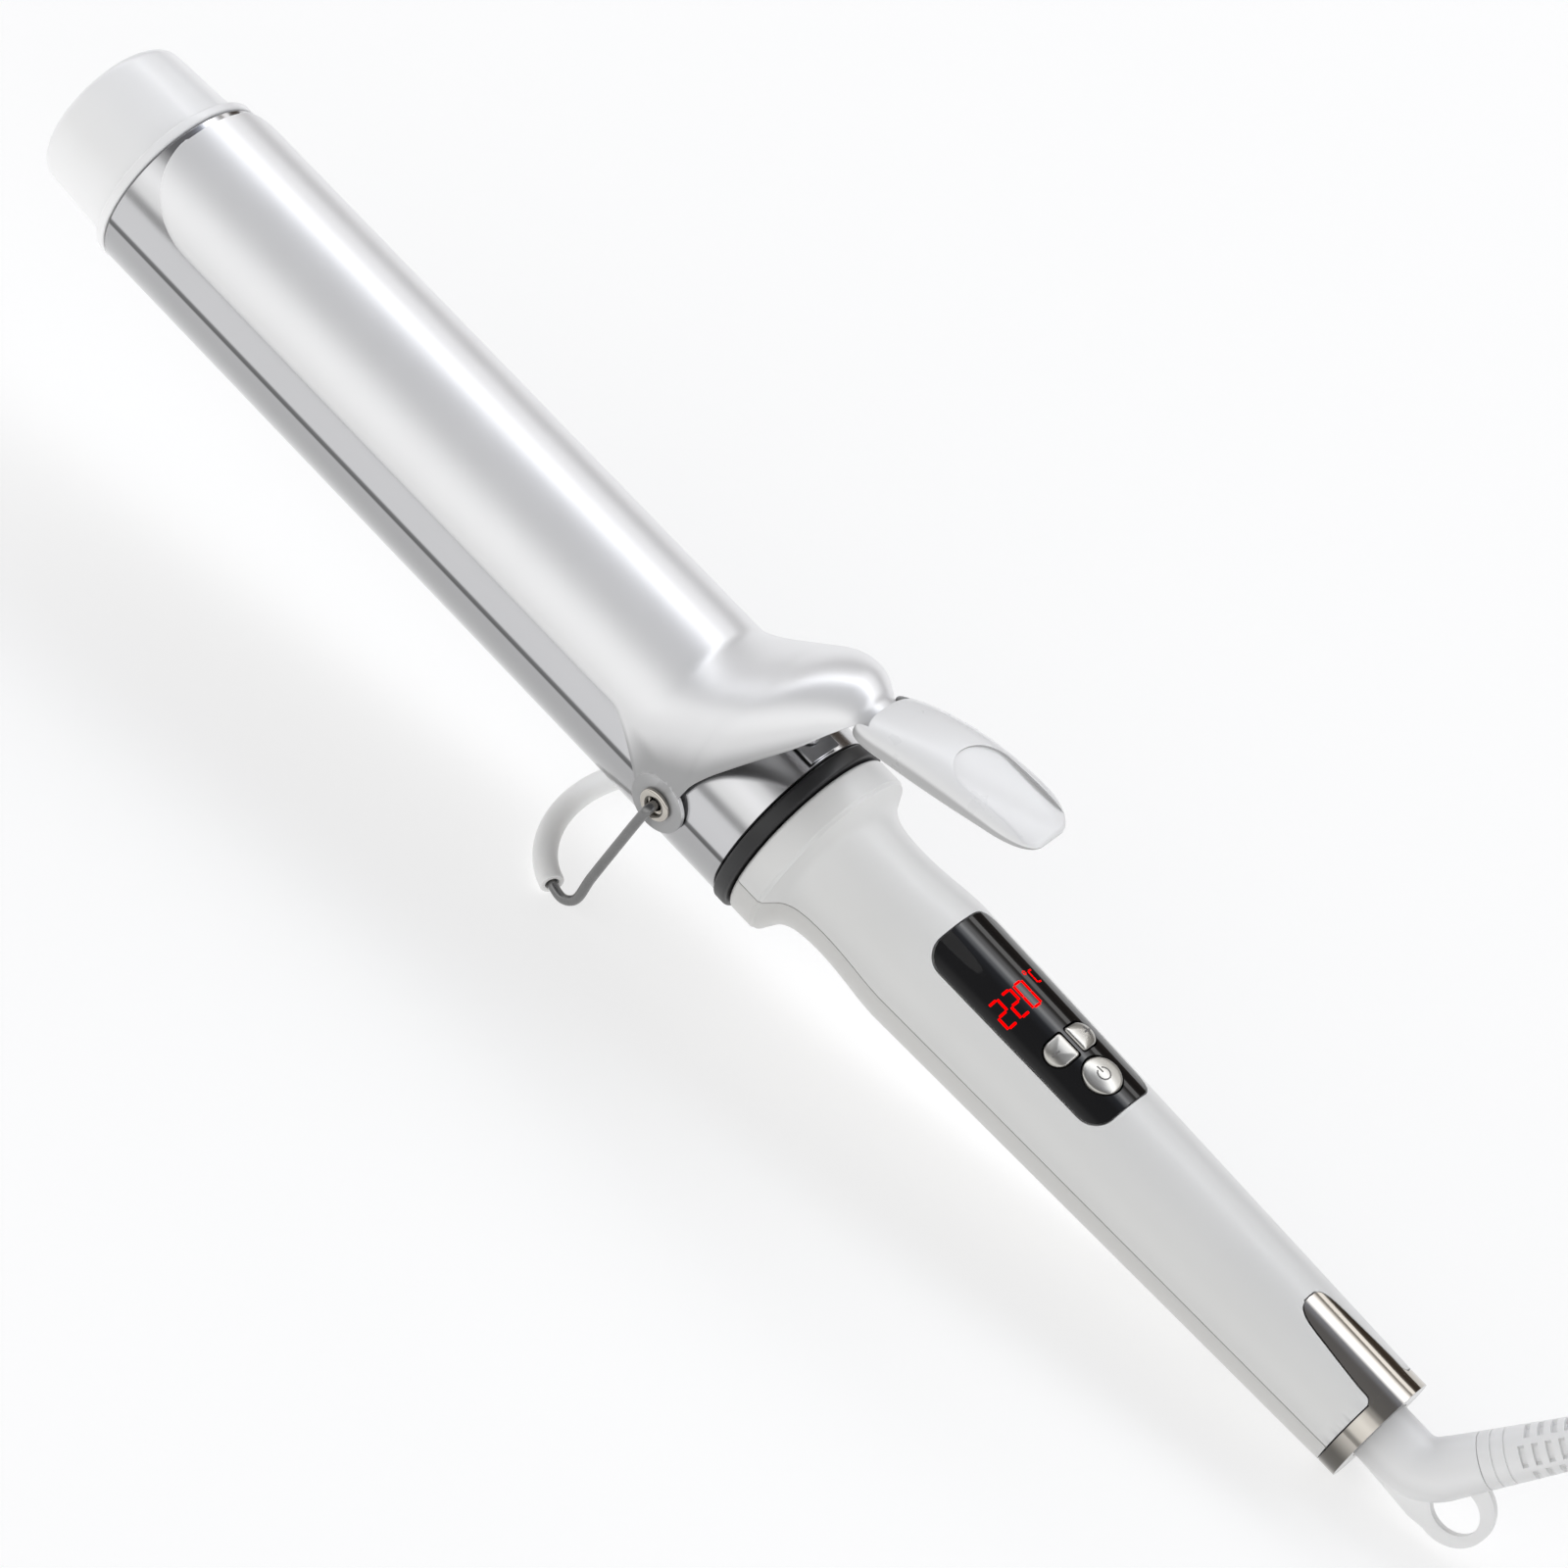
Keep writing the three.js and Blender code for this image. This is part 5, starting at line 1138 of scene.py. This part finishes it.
def handle_profile():
    """The handle's outside from the collar to the tail, then its bore."""
    outer = [(COLLAR_FRONT, NECK_BORE), (COLLAR_FRONT, COLLAR_RADIUS - 1)]
    outer += arc((COLLAR_FRONT + 1, COLLAR_RADIUS - 1), 1, 180, 90, 5)[1:]
    outer += [(-146, COLLAR_RADIUS)]
    outer += arc((-143.5, COLLAR_RADIUS - 0.4), 0.4, 90, 30, 3)
    neck = centripetal([(x, r, 0) for x, r in NECK_POINTS], 4)
    outer += [(p.x, p.y) for p in neck]
    taper = CREASE_STATION + 0.25
    outer += finer([(taper, handle_radius(taper)), (SHELL_REAR, SHELL_REAR_RADIUS)], 3)
    outer += [(SHELL_REAR, SHELL_REAR_RADIUS - SHELL_WALL)]
    outer += [(-112, handle_radius(-112) - SHELL_WALL), (-118.5, NECK_BORE)]
    return outer


def add_shell(name, node, look, tools):
    """One moulding of the handle: the whole turned shape with the other half and its seats cut off."""
    shell = cut(lathe(name, handle_profile(), sides=192), tools)
    rounded(shell, 0.1, 2, 60)
    dress(shell, "white_plastic", node, look=look, angle=30)


def add_handle():
    seam, side, front, rear = GAP / 2, 60, -170, 10
    seat = finer(rounded_rows(LENS_FRONT, LENS_REAR, LENS_HALF_ANGLE, LENS_CORNER, GAP))
    window = finer(rounded_rows(LENS_FRONT + 2, LENS_REAR - 1.4, 33.5, 3))
    tongue = [(station, half + TONGUE_SIDE_GAP) for station, half in blended(TONGUE_ROWS, 4)]
    tongue[0] = (tongue[0][0] - GAP, tongue[0][1])
    tools = [box("tool", (front, -side, -side), (rear, side, seam)), saddle("tool", seat, 2, -1.5)]
    tools += [saddle("tool", window, 3, -4), saddle("tool", tongue, 2, -1.1)]
    add_shell("handle_top", "handle_upper_shell", "white_plastic", tools)

    tools = [box("tool", (front, -side, -seam), (rear, side, side))]
    tools += [rod_up(station, 0, 2.5, -20, -8.2) for station in SHELL_SCREW_STATIONS]
    # The lower shell takes the white plastic's darker copy: painted shade.
    add_shell("handle_base", "handle_lower_shell", "shaded_base_plastic", tools)


# ---- display and buttons ---------------------


def on_handle(angle):
    """Placement that stands a piece on the handle at an angle from the top."""
    a = math.radians(angle)
    return lambda x, y, z: (x, y * math.cos(a) + z * math.sin(a), z * math.cos(a) - y * math.sin(a))


def on_skin(x, y, z):
    """Placement on the handle's skin: distance along, distance across and lift."""
    radius = handle_radius(x)
    return around(x, radius + z, math.degrees(y / radius))


def key_outline(side, grow=0.0, steps=24):
    """D-shaped key, flat towards its neighbour, as (station, across) from its centre."""
    half = 2.7 + grow
    flat = -side * (2.85 + grow)
    middle = side * 0.15
    outline = [(-half + 0.5, flat), (half - 0.5, flat), (half - 0.15, flat + side * 0.15)]
    outline += [(half, flat + side * 0.5)]
    for i in range(steps + 1):
        a = math.pi * i / steps
        outline.append((half * math.cos(a), middle + side * half * math.sin(a)))
    outline += [(-half, flat + side * 0.5), (-half + 0.15, flat + side * 0.15)]
    return [(KEY_STATION + x, y) for x, y in outline]


def power_outline(grow=0.0):
    """The round power button's outline."""
    return circle(POWER_RADIUS + grow, 56, (POWER_STATION, 0))


# Shrink and height below the crown of the rings that round a button's edge and dome its top.
BUTTON_EDGE = [(1.0, 0.95), (0.985, 0.78), (0.95, 0.64), (0.9, 0.54), (0.83, 0.45)]
BUTTON_DOME = [(0.7, 0.33), (0.5, 0.17), (0.3, 0.06), (0.12, 0.01)]


def centre_of(outline):
    """Mean of an outline's corners."""
    return [sum(values) / len(outline) for values in zip(*outline)]


def button(name, outline, angle, top):
    """A button's body with a rounded edge and a domed top."""
    place = on_handle(angle)
    cx, cy = centre_of(outline)
    rings = []
    for shrink, drop in [(1.0, top - BUTTON_BOTTOM)] + BUTTON_EDGE + BUTTON_DOME:
        ring = [(cx + (x - cx) * shrink, cy + (y - cy) * shrink) for x, y in outline]
        rings.append([place(x, y, top - drop) for x, y in ring])
    return loft(name, rings)


def dome_top(outline, reach, top):
    """Height of a button's domed top at a point of its face."""
    cx, cy = centre_of(outline)
    steps = [(0, 0)] + BUTTON_DOME[::-1]

    def height(x, y):
        share = math.hypot(x - cx, y - cy) / reach
        for (near, shallow), (far, deep) in zip(steps, steps[1:]):
            if share <= far:
                return top - shallow - (deep - shallow) * (share - near) / (far - near)
        return top - steps[-1][1]

    return height


BAR_STEPS = 8
BAR_LIFT = 0.05


def bars(name, pieces, place, height=lambda x, y: 0):
    """Thin raised bars, each (station, across, half length, half width, turn in degrees)."""
    made = []
    for station, across, half_length, half_width, turn in pieces:
        c, s = math.cos(math.radians(turn)), math.sin(math.radians(turn))
        rows = []
        for i in range(BAR_STEPS + 1):
            along = half_length * (2 * i / BAR_STEPS - 1)
            pair = [(station + along * c - side * s, across + along * s + side * c)
                    for side in (-half_width, half_width)]
            rows.append([(x, y, height(x, y)) for x, y in pair])
        outer = [[place(x, y, z + BAR_LIFT) for x, y, z in pair] for pair in rows]
        inner = [[place(x, y, z - BAR_LIFT) for x, y, z in pair] for pair in rows]
        made.append(shell_between(name, outer, inner))
    return join(name, made)


def join(name, objects):
    """One mesh of several separate closed shapes."""
    shape = bmesh.new()
    for obj in objects:
        shape.from_mesh(obj.data)
    mesh = bpy.data.meshes.new(name)
    shape.to_mesh(mesh)
    shape.free()
    matrix = objects[0].matrix_world.copy()
    for obj in objects:
        bpy.data.objects.remove(obj)
    joined = bpy.data.objects.new(name, mesh)
    joined.matrix_world = matrix
    bpy.context.collection.objects.link(joined)
    return joined


def add_lens():
    rows = finer(rounded_rows(LENS_FRONT, LENS_REAR, LENS_HALF_ANGLE, LENS_CORNER))
    lens = saddle("display_window", rows, 0, -LENS_THICKNESS, 48)
    outlines = {-KEY_ANGLE: key_outline(-1, GAP), KEY_ANGLE: key_outline(1, GAP)}
    outlines[0] = power_outline(GAP)
    cut(lens, [prism("tool", outline, 8, 18, on_handle(turn)) for turn, outline in outlines.items()])
    rounded(lens, 0.18, 3, 50)
    dress(lens, "black_lens", "display_lens", angle=40, slope=HANDLE_SLOPE)


DIGIT_TOP = -100.2
DIGIT_BOTTOM = -94.85
DIGIT_HALF = 1.1
DIGIT_CENTRES = (-6.35, -3.2, 0.0)
DIGIT_LINE = 0.24
# Segments lit for 2 and 0: top, upper right, lower right, bottom, lower left, upper left, middle.
DIGITS = {"2": "ABDEG", "0": "ABCDEF"}


def segment_bars(lit, centre, top, bottom, half, line):
    """The bars of one seven-segment digit; its top points to the tip."""
    middle = (top + bottom) / 2
    quarter = (bottom - top) / 4
    lying = (half - line - 0.1, line, 90)
    standing = (quarter - 0.06, line, 0)
    level = {
        "A": (top, centre, *lying),
        "G": (middle, centre, *lying),
        "D": (bottom, centre, *lying),
        "B": (top + quarter, centre + half, *standing),
        "F": (top + quarter, centre - half, *standing),
        "C": (bottom - quarter, centre + half, *standing),
        "E": (bottom - quarter, centre - half, *standing),
    }
    return [level[letter] for letter in lit]


def ring_bars(centre, radius, turns, half_length, half_width):
    """Short bars round a circle, at angles from the tip's side."""
    made = []
    for turn in turns:
        x = centre[0] - radius * math.cos(math.radians(turn))
        y = centre[1] + radius * math.sin(math.radians(turn))
        made.append((x, y, half_length, half_width, 90 - turn))
    return made


def add_digits():
    pieces = []
    for digit, centre in zip("220", DIGIT_CENTRES):
        pieces += segment_bars(DIGITS[digit], centre, DIGIT_TOP, DIGIT_BOTTOM, DIGIT_HALF, DIGIT_LINE)
    pieces += segment_bars("ADEF", 4.95, -100.9, -98.2, 0.7, 0.16)
    pieces += ring_bars((-101.0, 3.1), 0.38, range(180, -180, -60), 0.14, 0.1)
    decorate(bars("temperature_digits", pieces, on_skin), "iron", "red_light")


MARK_LINE = 0.17
MARK_OFFSET = 0.9  # from the middle of the handle, where the key's dome is highest
KEY_REACH = 2.9
# The bars of each mark, as bars() takes them.
STROKES = {
    "minus": [(KEY_STATION, -MARK_OFFSET, 0.95, MARK_LINE, 90)],
    "plus": [
        (KEY_STATION, MARK_OFFSET, 0.95, MARK_LINE, 90),
        (KEY_STATION - 0.6, MARK_OFFSET, 0.4, MARK_LINE, 0),
        (KEY_STATION + 0.6, MARK_OFFSET, 0.4, MARK_LINE, 0),
    ],
    "power": [(POWER_STATION - 1.0, 0, 0.75, 0.14, 0)]
    + ring_bars((POWER_STATION, 0), 1.25, range(40, 321, 28), 0.31, 0.13),
}


def add_buttons():
    """The three caps, then the mark on each."""
    key_top = handle_radius(KEY_STATION) + BUTTON_RISE
    power_top = handle_radius(POWER_STATION) + BUTTON_RISE
    buttons = [
        ("minus", key_outline(-1), -KEY_ANGLE, KEY_REACH, key_top),
        ("plus", key_outline(1), KEY_ANGLE, KEY_REACH, key_top),
        ("power", power_outline(), 0, POWER_RADIUS, power_top),
    ]
    for name, outline, angle, reach, top in buttons:
        cap = button(name + "_cap", outline, angle, top)
        dress(cap, "silver_button", name + "_button", angle=50)
    for name, outline, angle, reach, top in buttons:
        mark = bars(name + "_mark", STROKES[name], on_handle(angle), dome_top(outline, reach, top))
        decorate(mark, name + "_key", "print_grey")


# ---- tail, elbow and strain relief -----------


def add_trim():
    front = SHELL_REAR + GAP
    inner = SHELL_REAR_RADIUS - SHELL_WALL
    bore = ELBOW_RADIUS + 0.4
    ring = [(front, inner), (front, SHELL_REAR_RADIUS), (-2, SHELL_REAR_RADIUS), (0, SHELL_REAR_RADIUS)]
    ring += [(0, 9), (0, bore), (-1.6, bore), (-1.6, inner)]
    trim = lathe("tail_cap", ring, sides=192)
    rows = [tuple(row) for row in blended(TONGUE_ROWS, 4)]
    cut(trim, [saddle("tool", rows, 0, -0.8, 40)], "UNION")
    rounded(trim, 0.16, 3, 40)
    dress(trim, "nickel", "tail_trim", look="shaded_trim_nickel", angle=30, slope=0)


LEAN = IRON @ Matrix.Rotation(math.radians(-SWIVEL_LEAN), 4, "X")
BEND_END = ELBOW_STRAIGHT + ELBOW_BEND_RADIUS * math.radians(ELBOW_BEND)
ELBOW_END = BEND_END + ELBOW_TAIL
RELIEF_START = ELBOW_END + 0.12  # a hair's seam between the elbow and the boot
LOOP_CENTRE = (18.6, 0.3)
LOOP_RADII = (7.5, 6.9)
LOOP_HOLE_CENTRE = 19.1
LOOP_HOLE_RADII = (4.9, 4.0)
LOOP_HALF = 1.2  # half its thickness


def elbow_line(distance):
    """Station, offset and heading of the elbow's middle line."""
    bend = math.radians(ELBOW_BEND)
    if distance <= ELBOW_STRAIGHT:
        return distance, 0, 0
    turn = min((distance - ELBOW_STRAIGHT) / ELBOW_BEND_RADIUS, bend)
    beyond = max(distance - BEND_END, 0)
    station = ELBOW_STRAIGHT + ELBOW_BEND_RADIUS * math.sin(turn) + beyond * math.cos(turn)
    offset = ELBOW_BEND_RADIUS * (1 - math.cos(turn)) + beyond * math.sin(turn)
    return station, offset, turn


def elbow_ring(distance, radius, sides):
    """A ring round the elbow's middle line; radius may change with the angle."""
    station, offset, heading = elbow_line(distance)
    ring = []
    for i in range(sides):
        a = tau * i / sides
        r = radius(math.degrees(a)) if callable(radius) else radius
        in_plane = r * math.cos(a)
        ring.append(
            (
                station - in_plane * math.sin(heading),
                r * math.sin(a),
                offset + in_plane * math.cos(heading),
            )
        )
    return ring


def elbow_radius(distance):
    t = min(max((distance - ELBOW_STRAIGHT) / (ELBOW_END - ELBOW_STRAIGHT), 0), 1)
    return ELBOW_RADIUS + (RELIEF_START_RADIUS - ELBOW_RADIUS) * t


def hang_loop():
    """Flat plate with a hole that grows out of the elbow's underside."""
    outline = [(1.2, -ELBOW_RADIUS + 0.1), (7, -6.4), (14, -6.9)]
    for i in range(37):
        a = math.radians(-100 + 175 * i / 36)
        x = LOOP_CENTRE[0] + LOOP_RADII[0] * math.cos(a)
        outline.append((x, LOOP_CENTRE[1] + LOOP_RADII[1] * math.sin(a)))
    outline += [(16, 5.5), (4, 0)]

    def upright(x, y, z):
        return (x, -z, y)

    plate = prism("loop", outline, -LOOP_HALF, LOOP_HALF, upright, LEAN)
    long, wide = LOOP_HOLE_RADII
    hole = [(LOOP_HOLE_CENTRE + long * x, wide * y) for x, y in circle(1, 56)]
    return cut(plate, [prism("tool", hole, -4, 4, upright, LEAN)])


def add_elbow():
    profile = [(-24.2, 0), (-24.2, 5), (-13, 5), (-13, ELBOW_RADIUS), (1, ELBOW_RADIUS), (1, 0)]
    stub = lathe("stub", profile, 64, LEAN)
    distances = [0.5 + (ELBOW_END - 0.5) * i / 28 for i in range(29)]
    elbow = loft("cord_knuckle", [elbow_ring(d, elbow_radius(d), 64) for d in distances], LEAN)
    cut(elbow, [stub, hang_loop()], "UNION")
    rounded(elbow, 0.35, 3, 50)
    dress(elbow, "white_plastic", "cord_elbow", look="boot_plastic", angle=40)


RING_GROOVES = 2
GROOVE_HALF = 0.15
GROOVE_DEPTH = 0.3
GROOVE_PITCH = 2.45
FIRST_SLOT = GROOVE_PITCH * (RING_GROOVES + 1)
SLOT_WIDTH = 1.05
SLOT_DEPTH = 0.9
SLOT_HALF_ANGLE = 21
SLOTS_AROUND = 6
RELIEF_PLAIN_END = 1.6


def relief_depth(along, angle):
    """How deep the strain relief is cut at a distance along it and an angle round it."""
    for i in range(RING_GROOVES):
        if abs(along - (i + 1) * GROOVE_PITCH) < GROOVE_HALF:
            return GROOVE_DEPTH
    span = 360 / SLOTS_AROUND
    row = int(angle // span)
    within = abs(angle - span * (row + 0.5))
    start = FIRST_SLOT + (GROOVE_PITCH / 2 if row % 2 else 0)
    if along < start or along > RELIEF_LENGTH - RELIEF_PLAIN_END or within > SLOT_HALF_ANGLE:
        return 0
    return SLOT_DEPTH if (along - start) % GROOVE_PITCH < SLOT_WIDTH else 0


def add_relief():
    """Tapered flexible boot: two thin grooves, then rows of staggered slots."""
    edges = {0.0, 0.3, RELIEF_LENGTH - 0.35, RELIEF_LENGTH}
    for i in range(RING_GROOVES):
        centre = (i + 1) * GROOVE_PITCH
        edges.update((centre - 0.2, centre - 0.12, centre + 0.12, centre + 0.2))
    start = FIRST_SLOT
    while start < RELIEF_LENGTH - RELIEF_PLAIN_END:
        edges.update((start - 0.04, start + 0.04, start + SLOT_WIDTH - 0.04, start + SLOT_WIDTH + 0.04))
        start += GROOVE_PITCH / 2
    rings = []
    for along in sorted(edge for edge in edges if edge <= RELIEF_LENGTH):
        share = along / RELIEF_LENGTH
        base = RELIEF_START_RADIUS + (RELIEF_END_RADIUS - RELIEF_START_RADIUS) * share
        if along in (0.0, RELIEF_LENGTH):
            base -= 0.12
        rings.append(
            elbow_ring(RELIEF_START + along, lambda a: base - relief_depth(along, a % 360), 120)
        )
    boot = loft("strain_boot", rings, LEAN)
    dress(boot, "white_plastic", "strain_relief", look="boot_plastic", angle=30)


# ---- tie and plug ----------------------------


TIE_STATIONS = [233, 233.5, 235, 238, 241, 242.5, 243]
TIE_HALF = 29.55
TIE_LOW, TIE_HIGH = 1.0, 20.3
TIE_CORNER = 3.2
TIE_THICKNESS = 1.0


def tie_outline(grow):
    """Rounded frame round the hank, as (across, height)."""
    half = TIE_HALF - TIE_CORNER
    low, high = TIE_LOW + TIE_CORNER, TIE_HIGH - TIE_CORNER
    corners = ((HANK_Y + half, high), (HANK_Y - half, high), (HANK_Y - half, low), (HANK_Y + half, low))
    outline = []
    for quarter, (across, height) in enumerate(corners):
        for i in range(9):
            a = math.radians(90 * quarter + 90 * i / 8)
            reach = TIE_CORNER + grow
            outline.append((across + reach * math.cos(a), height + reach * math.sin(a)))
    return outline


def add_tie():
    """Soft strap round the folded cord."""
    rings = [[(x, y, z) for y, z in tie_outline(TIE_THICKNESS)] for x in TIE_STATIONS]
    rings += [[(x, y, z) for y, z in tie_outline(0)] for x in reversed(TIE_STATIONS)]
    tie = loft("cord_strap", rings + [rings[0]], Matrix(), caps=False)
    rounded(tie, 0.25, 2, 60)
    dress(tie, "white_silicone", "cord_tie")
    return tie


PLUG_HALF = 17.65
PLUG_THICKNESS = 13.7
PLUG_SHOULDER = 8
PLUG_NECK = 27
PIN_OFFSET = 9.3
PIN_RADIUS = 2
BOOT_RADIUS = 6.2
BOOT_TAPER = 0.105
BOOT_PITCH = 3.2
PLUG = Matrix.Translation(Vector((246, -10.75, 27.15)) * MM) @ Matrix.Rotation(-math.pi / 2, 4, "Z")


def plug_boot():
    """Ribbed boot behind the plug."""
    profile = [(23, 0), (23, BOOT_RADIUS)]
    for i in range(5):
        start = 28.5 + BOOT_PITCH * i
        radius = BOOT_RADIUS - BOOT_TAPER * (start - 23)
        profile += [(start, radius), (start + 0.2, radius - 0.7), (start + 1.2, radius - 0.8)]
        profile.append((start + 1.4, radius - 0.14))
    profile += [(46.0, 4.2), (46.2, 3.9), (46.2, 0)]
    return lathe("boot", profile, 48, PLUG @ Matrix.Rotation(math.pi / 2, 4, "Z"))


def pin_recess(side):
    outline = circle(PIN_RADIUS + GAP, 32, (side * PIN_OFFSET, 0))
    return prism("tool", outline, -1, 10, lambda x, y, z: (x, z, y), PLUG)


def add_plug():
    """Flat moulded two-pin plug; gives its body and its pins."""
    half = PLUG_HALF
    slant = (half - 2.5, PLUG_SHOULDER + 4.5)
    outline = [(-half, 0), (half, 0), (half, PLUG_SHOULDER), slant, (6.4, PLUG_NECK), (-6.4, PLUG_NECK)]
    outline += [(-slant[0], slant[1]), (-half, PLUG_SHOULDER)]
    body = prism("plug_shell", outline, -PLUG_THICKNESS / 2, PLUG_THICKNESS / 2, matrix=PLUG)
    rounded(body, 1.6, 4, 20)
    cut(body, [plug_boot()], "UNION")
    cut(body, [pin_recess(-1), pin_recess(1)])
    dress(body, "white_cable", "plug_body", angle=40)
    pieces = [body]
    pin = [(-19, 0), (-18.9, 0.7), (-18.6, 1.3), (-18.1, 1.75), (-17.4, PIN_RADIUS)]
    pin += [(-8, PIN_RADIUS), (9, PIN_RADIUS), (9, 0)]
    for side, end in ((-1, "left"), (1, "right")):
        aside = Matrix.Translation((side * PIN_OFFSET * MM, 0, 0))
        place = PLUG @ aside @ Matrix.Rotation(math.pi / 2, 4, "Z")
        pieces.append(lathe("pin_" + end, pin, 40, place))
        dress(pieces[-1], "nickel", "plug_pin_" + end)
    return pieces


# ---- floor and light -------------------------

# Brightness of the surroundings by direction about the iron's length, in degrees from straight
# up towards the far side: a long soft box on each side of a dark ceiling.
SKY = [
    (-180, 0.90, 0.90, 0.90),
    (-96, 0.60, 0.60, 0.60),
    (-84, 0.40, 0.40, 0.40),
    (-74, 1.15, 1.15, 1.14),
    (-54, 1.35, 1.35, 1.35),
    (-40, 1.10, 1.10, 1.10),
    (-30, 0.50, 0.50, 0.50),
    (-19, 0.19, 0.19, 0.195),
    (10, 0.17, 0.17, 0.18),
    (24, 0.32, 0.34, 0.40),
    (31, 2.00, 2.08, 2.22),
    (37, 4.30, 4.35, 4.45),
    (44, 2.00, 2.00, 2.05),
    (54, 0.34, 0.32, 0.30),
    (75, 0.06, 0.045, 0.035),
    (100, 0.12, 0.10, 0.085),
    (110, 1.60, 1.60, 1.60),
    (180, 1.00, 1.00, 1.00),
]
SKY_STRENGTH = 5
BACKDROP = (0.97, 0.97, 0.97, 1)
LAMP_PLACE = (0.1, 1.6, 0.9)
LAMP_SIZE = (2.4, 0.3)
LAMP_POWER = 3
FLOOR_HALF = 3.0
FLOOR_GLOW = 0.65  # keeps the shadow under the iron faint


def add_sky():
    """Studio light by direction about the iron's length, behind a plain pale backdrop."""
    world = bpy.data.worlds.new("studio")
    bpy.context.scene.world = world
    world.use_nodes = True
    tree = world.node_tree
    direction = wired(tree, "TexCoord", "Generated")
    across = dot(tree, direction, (0, 1, 0))
    upward = dot(tree, direction, (0, 0, 1))
    angle = calculate(tree, "ARCTAN2", across, upward)
    share = wired(tree, "MapRange", "Result", {"Value": angle, "From Min": -math.pi, "From Max": math.pi})
    stops = [((at + 180) / 360, [value / SKY_STRENGTH for value in light]) for at, *light in SKY]
    lit = color_ramp(tree, share, stops, "EASE")
    studio = tree.nodes["Background"]
    feed(tree, studio, {"Color": lit, "Strength": SKY_STRENGTH})
    backdrop = wired(tree, "Background", "Background", {"Color": BACKDROP})
    seen = wired(tree, "LightPath", "Is Camera Ray")
    either = wired(tree, "MixShader", "Shader", {0: seen, 1: studio.outputs["Background"], 2: backdrop})
    feed(tree, tree.nodes["World Output"], {"Surface": either})


def add_rear_lamp():
    data = bpy.data.lights.new("rear", "AREA")
    data.shape = "RECTANGLE"
    data.size, data.size_y = LAMP_SIZE
    data.energy = LAMP_POWER
    lamp = bpy.data.objects.new("rear", data)
    lamp.location = LAMP_PLACE
    lamp.rotation_euler = (-Vector(LAMP_PLACE)).to_track_quat("-Z", "Y").to_euler()
    bpy.context.collection.objects.link(lamp)


def add_floor():
    corners = [(-FLOOR_HALF, -FLOOR_HALF, 0), (FLOOR_HALF, -FLOOR_HALF, 0)]
    corners += [(FLOOR_HALF, FLOOR_HALF, 0), (-FLOOR_HALF, FLOOR_HALF, 0)]
    floor = new_object("floor", corners, [(0, 1, 2, 3)], Matrix(), 1)
    paper = surface("paper", (0.38, 0.38, 0.38), 0.9, mottle=0.004, mottle_scale=3,
                    grain_scale=400, specular=0.1)
    shader = paper.node_tree.nodes["Principled BSDF"]
    glow = {"Emission Color": (1, 1, 1, 1), "Emission Strength": FLOOR_GLOW}
    feed(paper.node_tree, shader, glow)
    floor.data.materials.append(paper)


# ---- build -----------------------------------

add_camera()
add_tip()
add_barrel()
add_clamp_plate()
add_paddle()
add_spring()
add_rivet()
add_eyelets()
add_stand()
add_handle()
add_lens()
add_digits()
add_buttons()
add_trim()
add_elbow()
add_relief()
add_cord([add_tie(), *add_plug()])
dress_inner_nodes()
add_floor()
add_sky()
add_rear_lamp()
bpy.context.scene.view_settings.view_transform = "Standard"
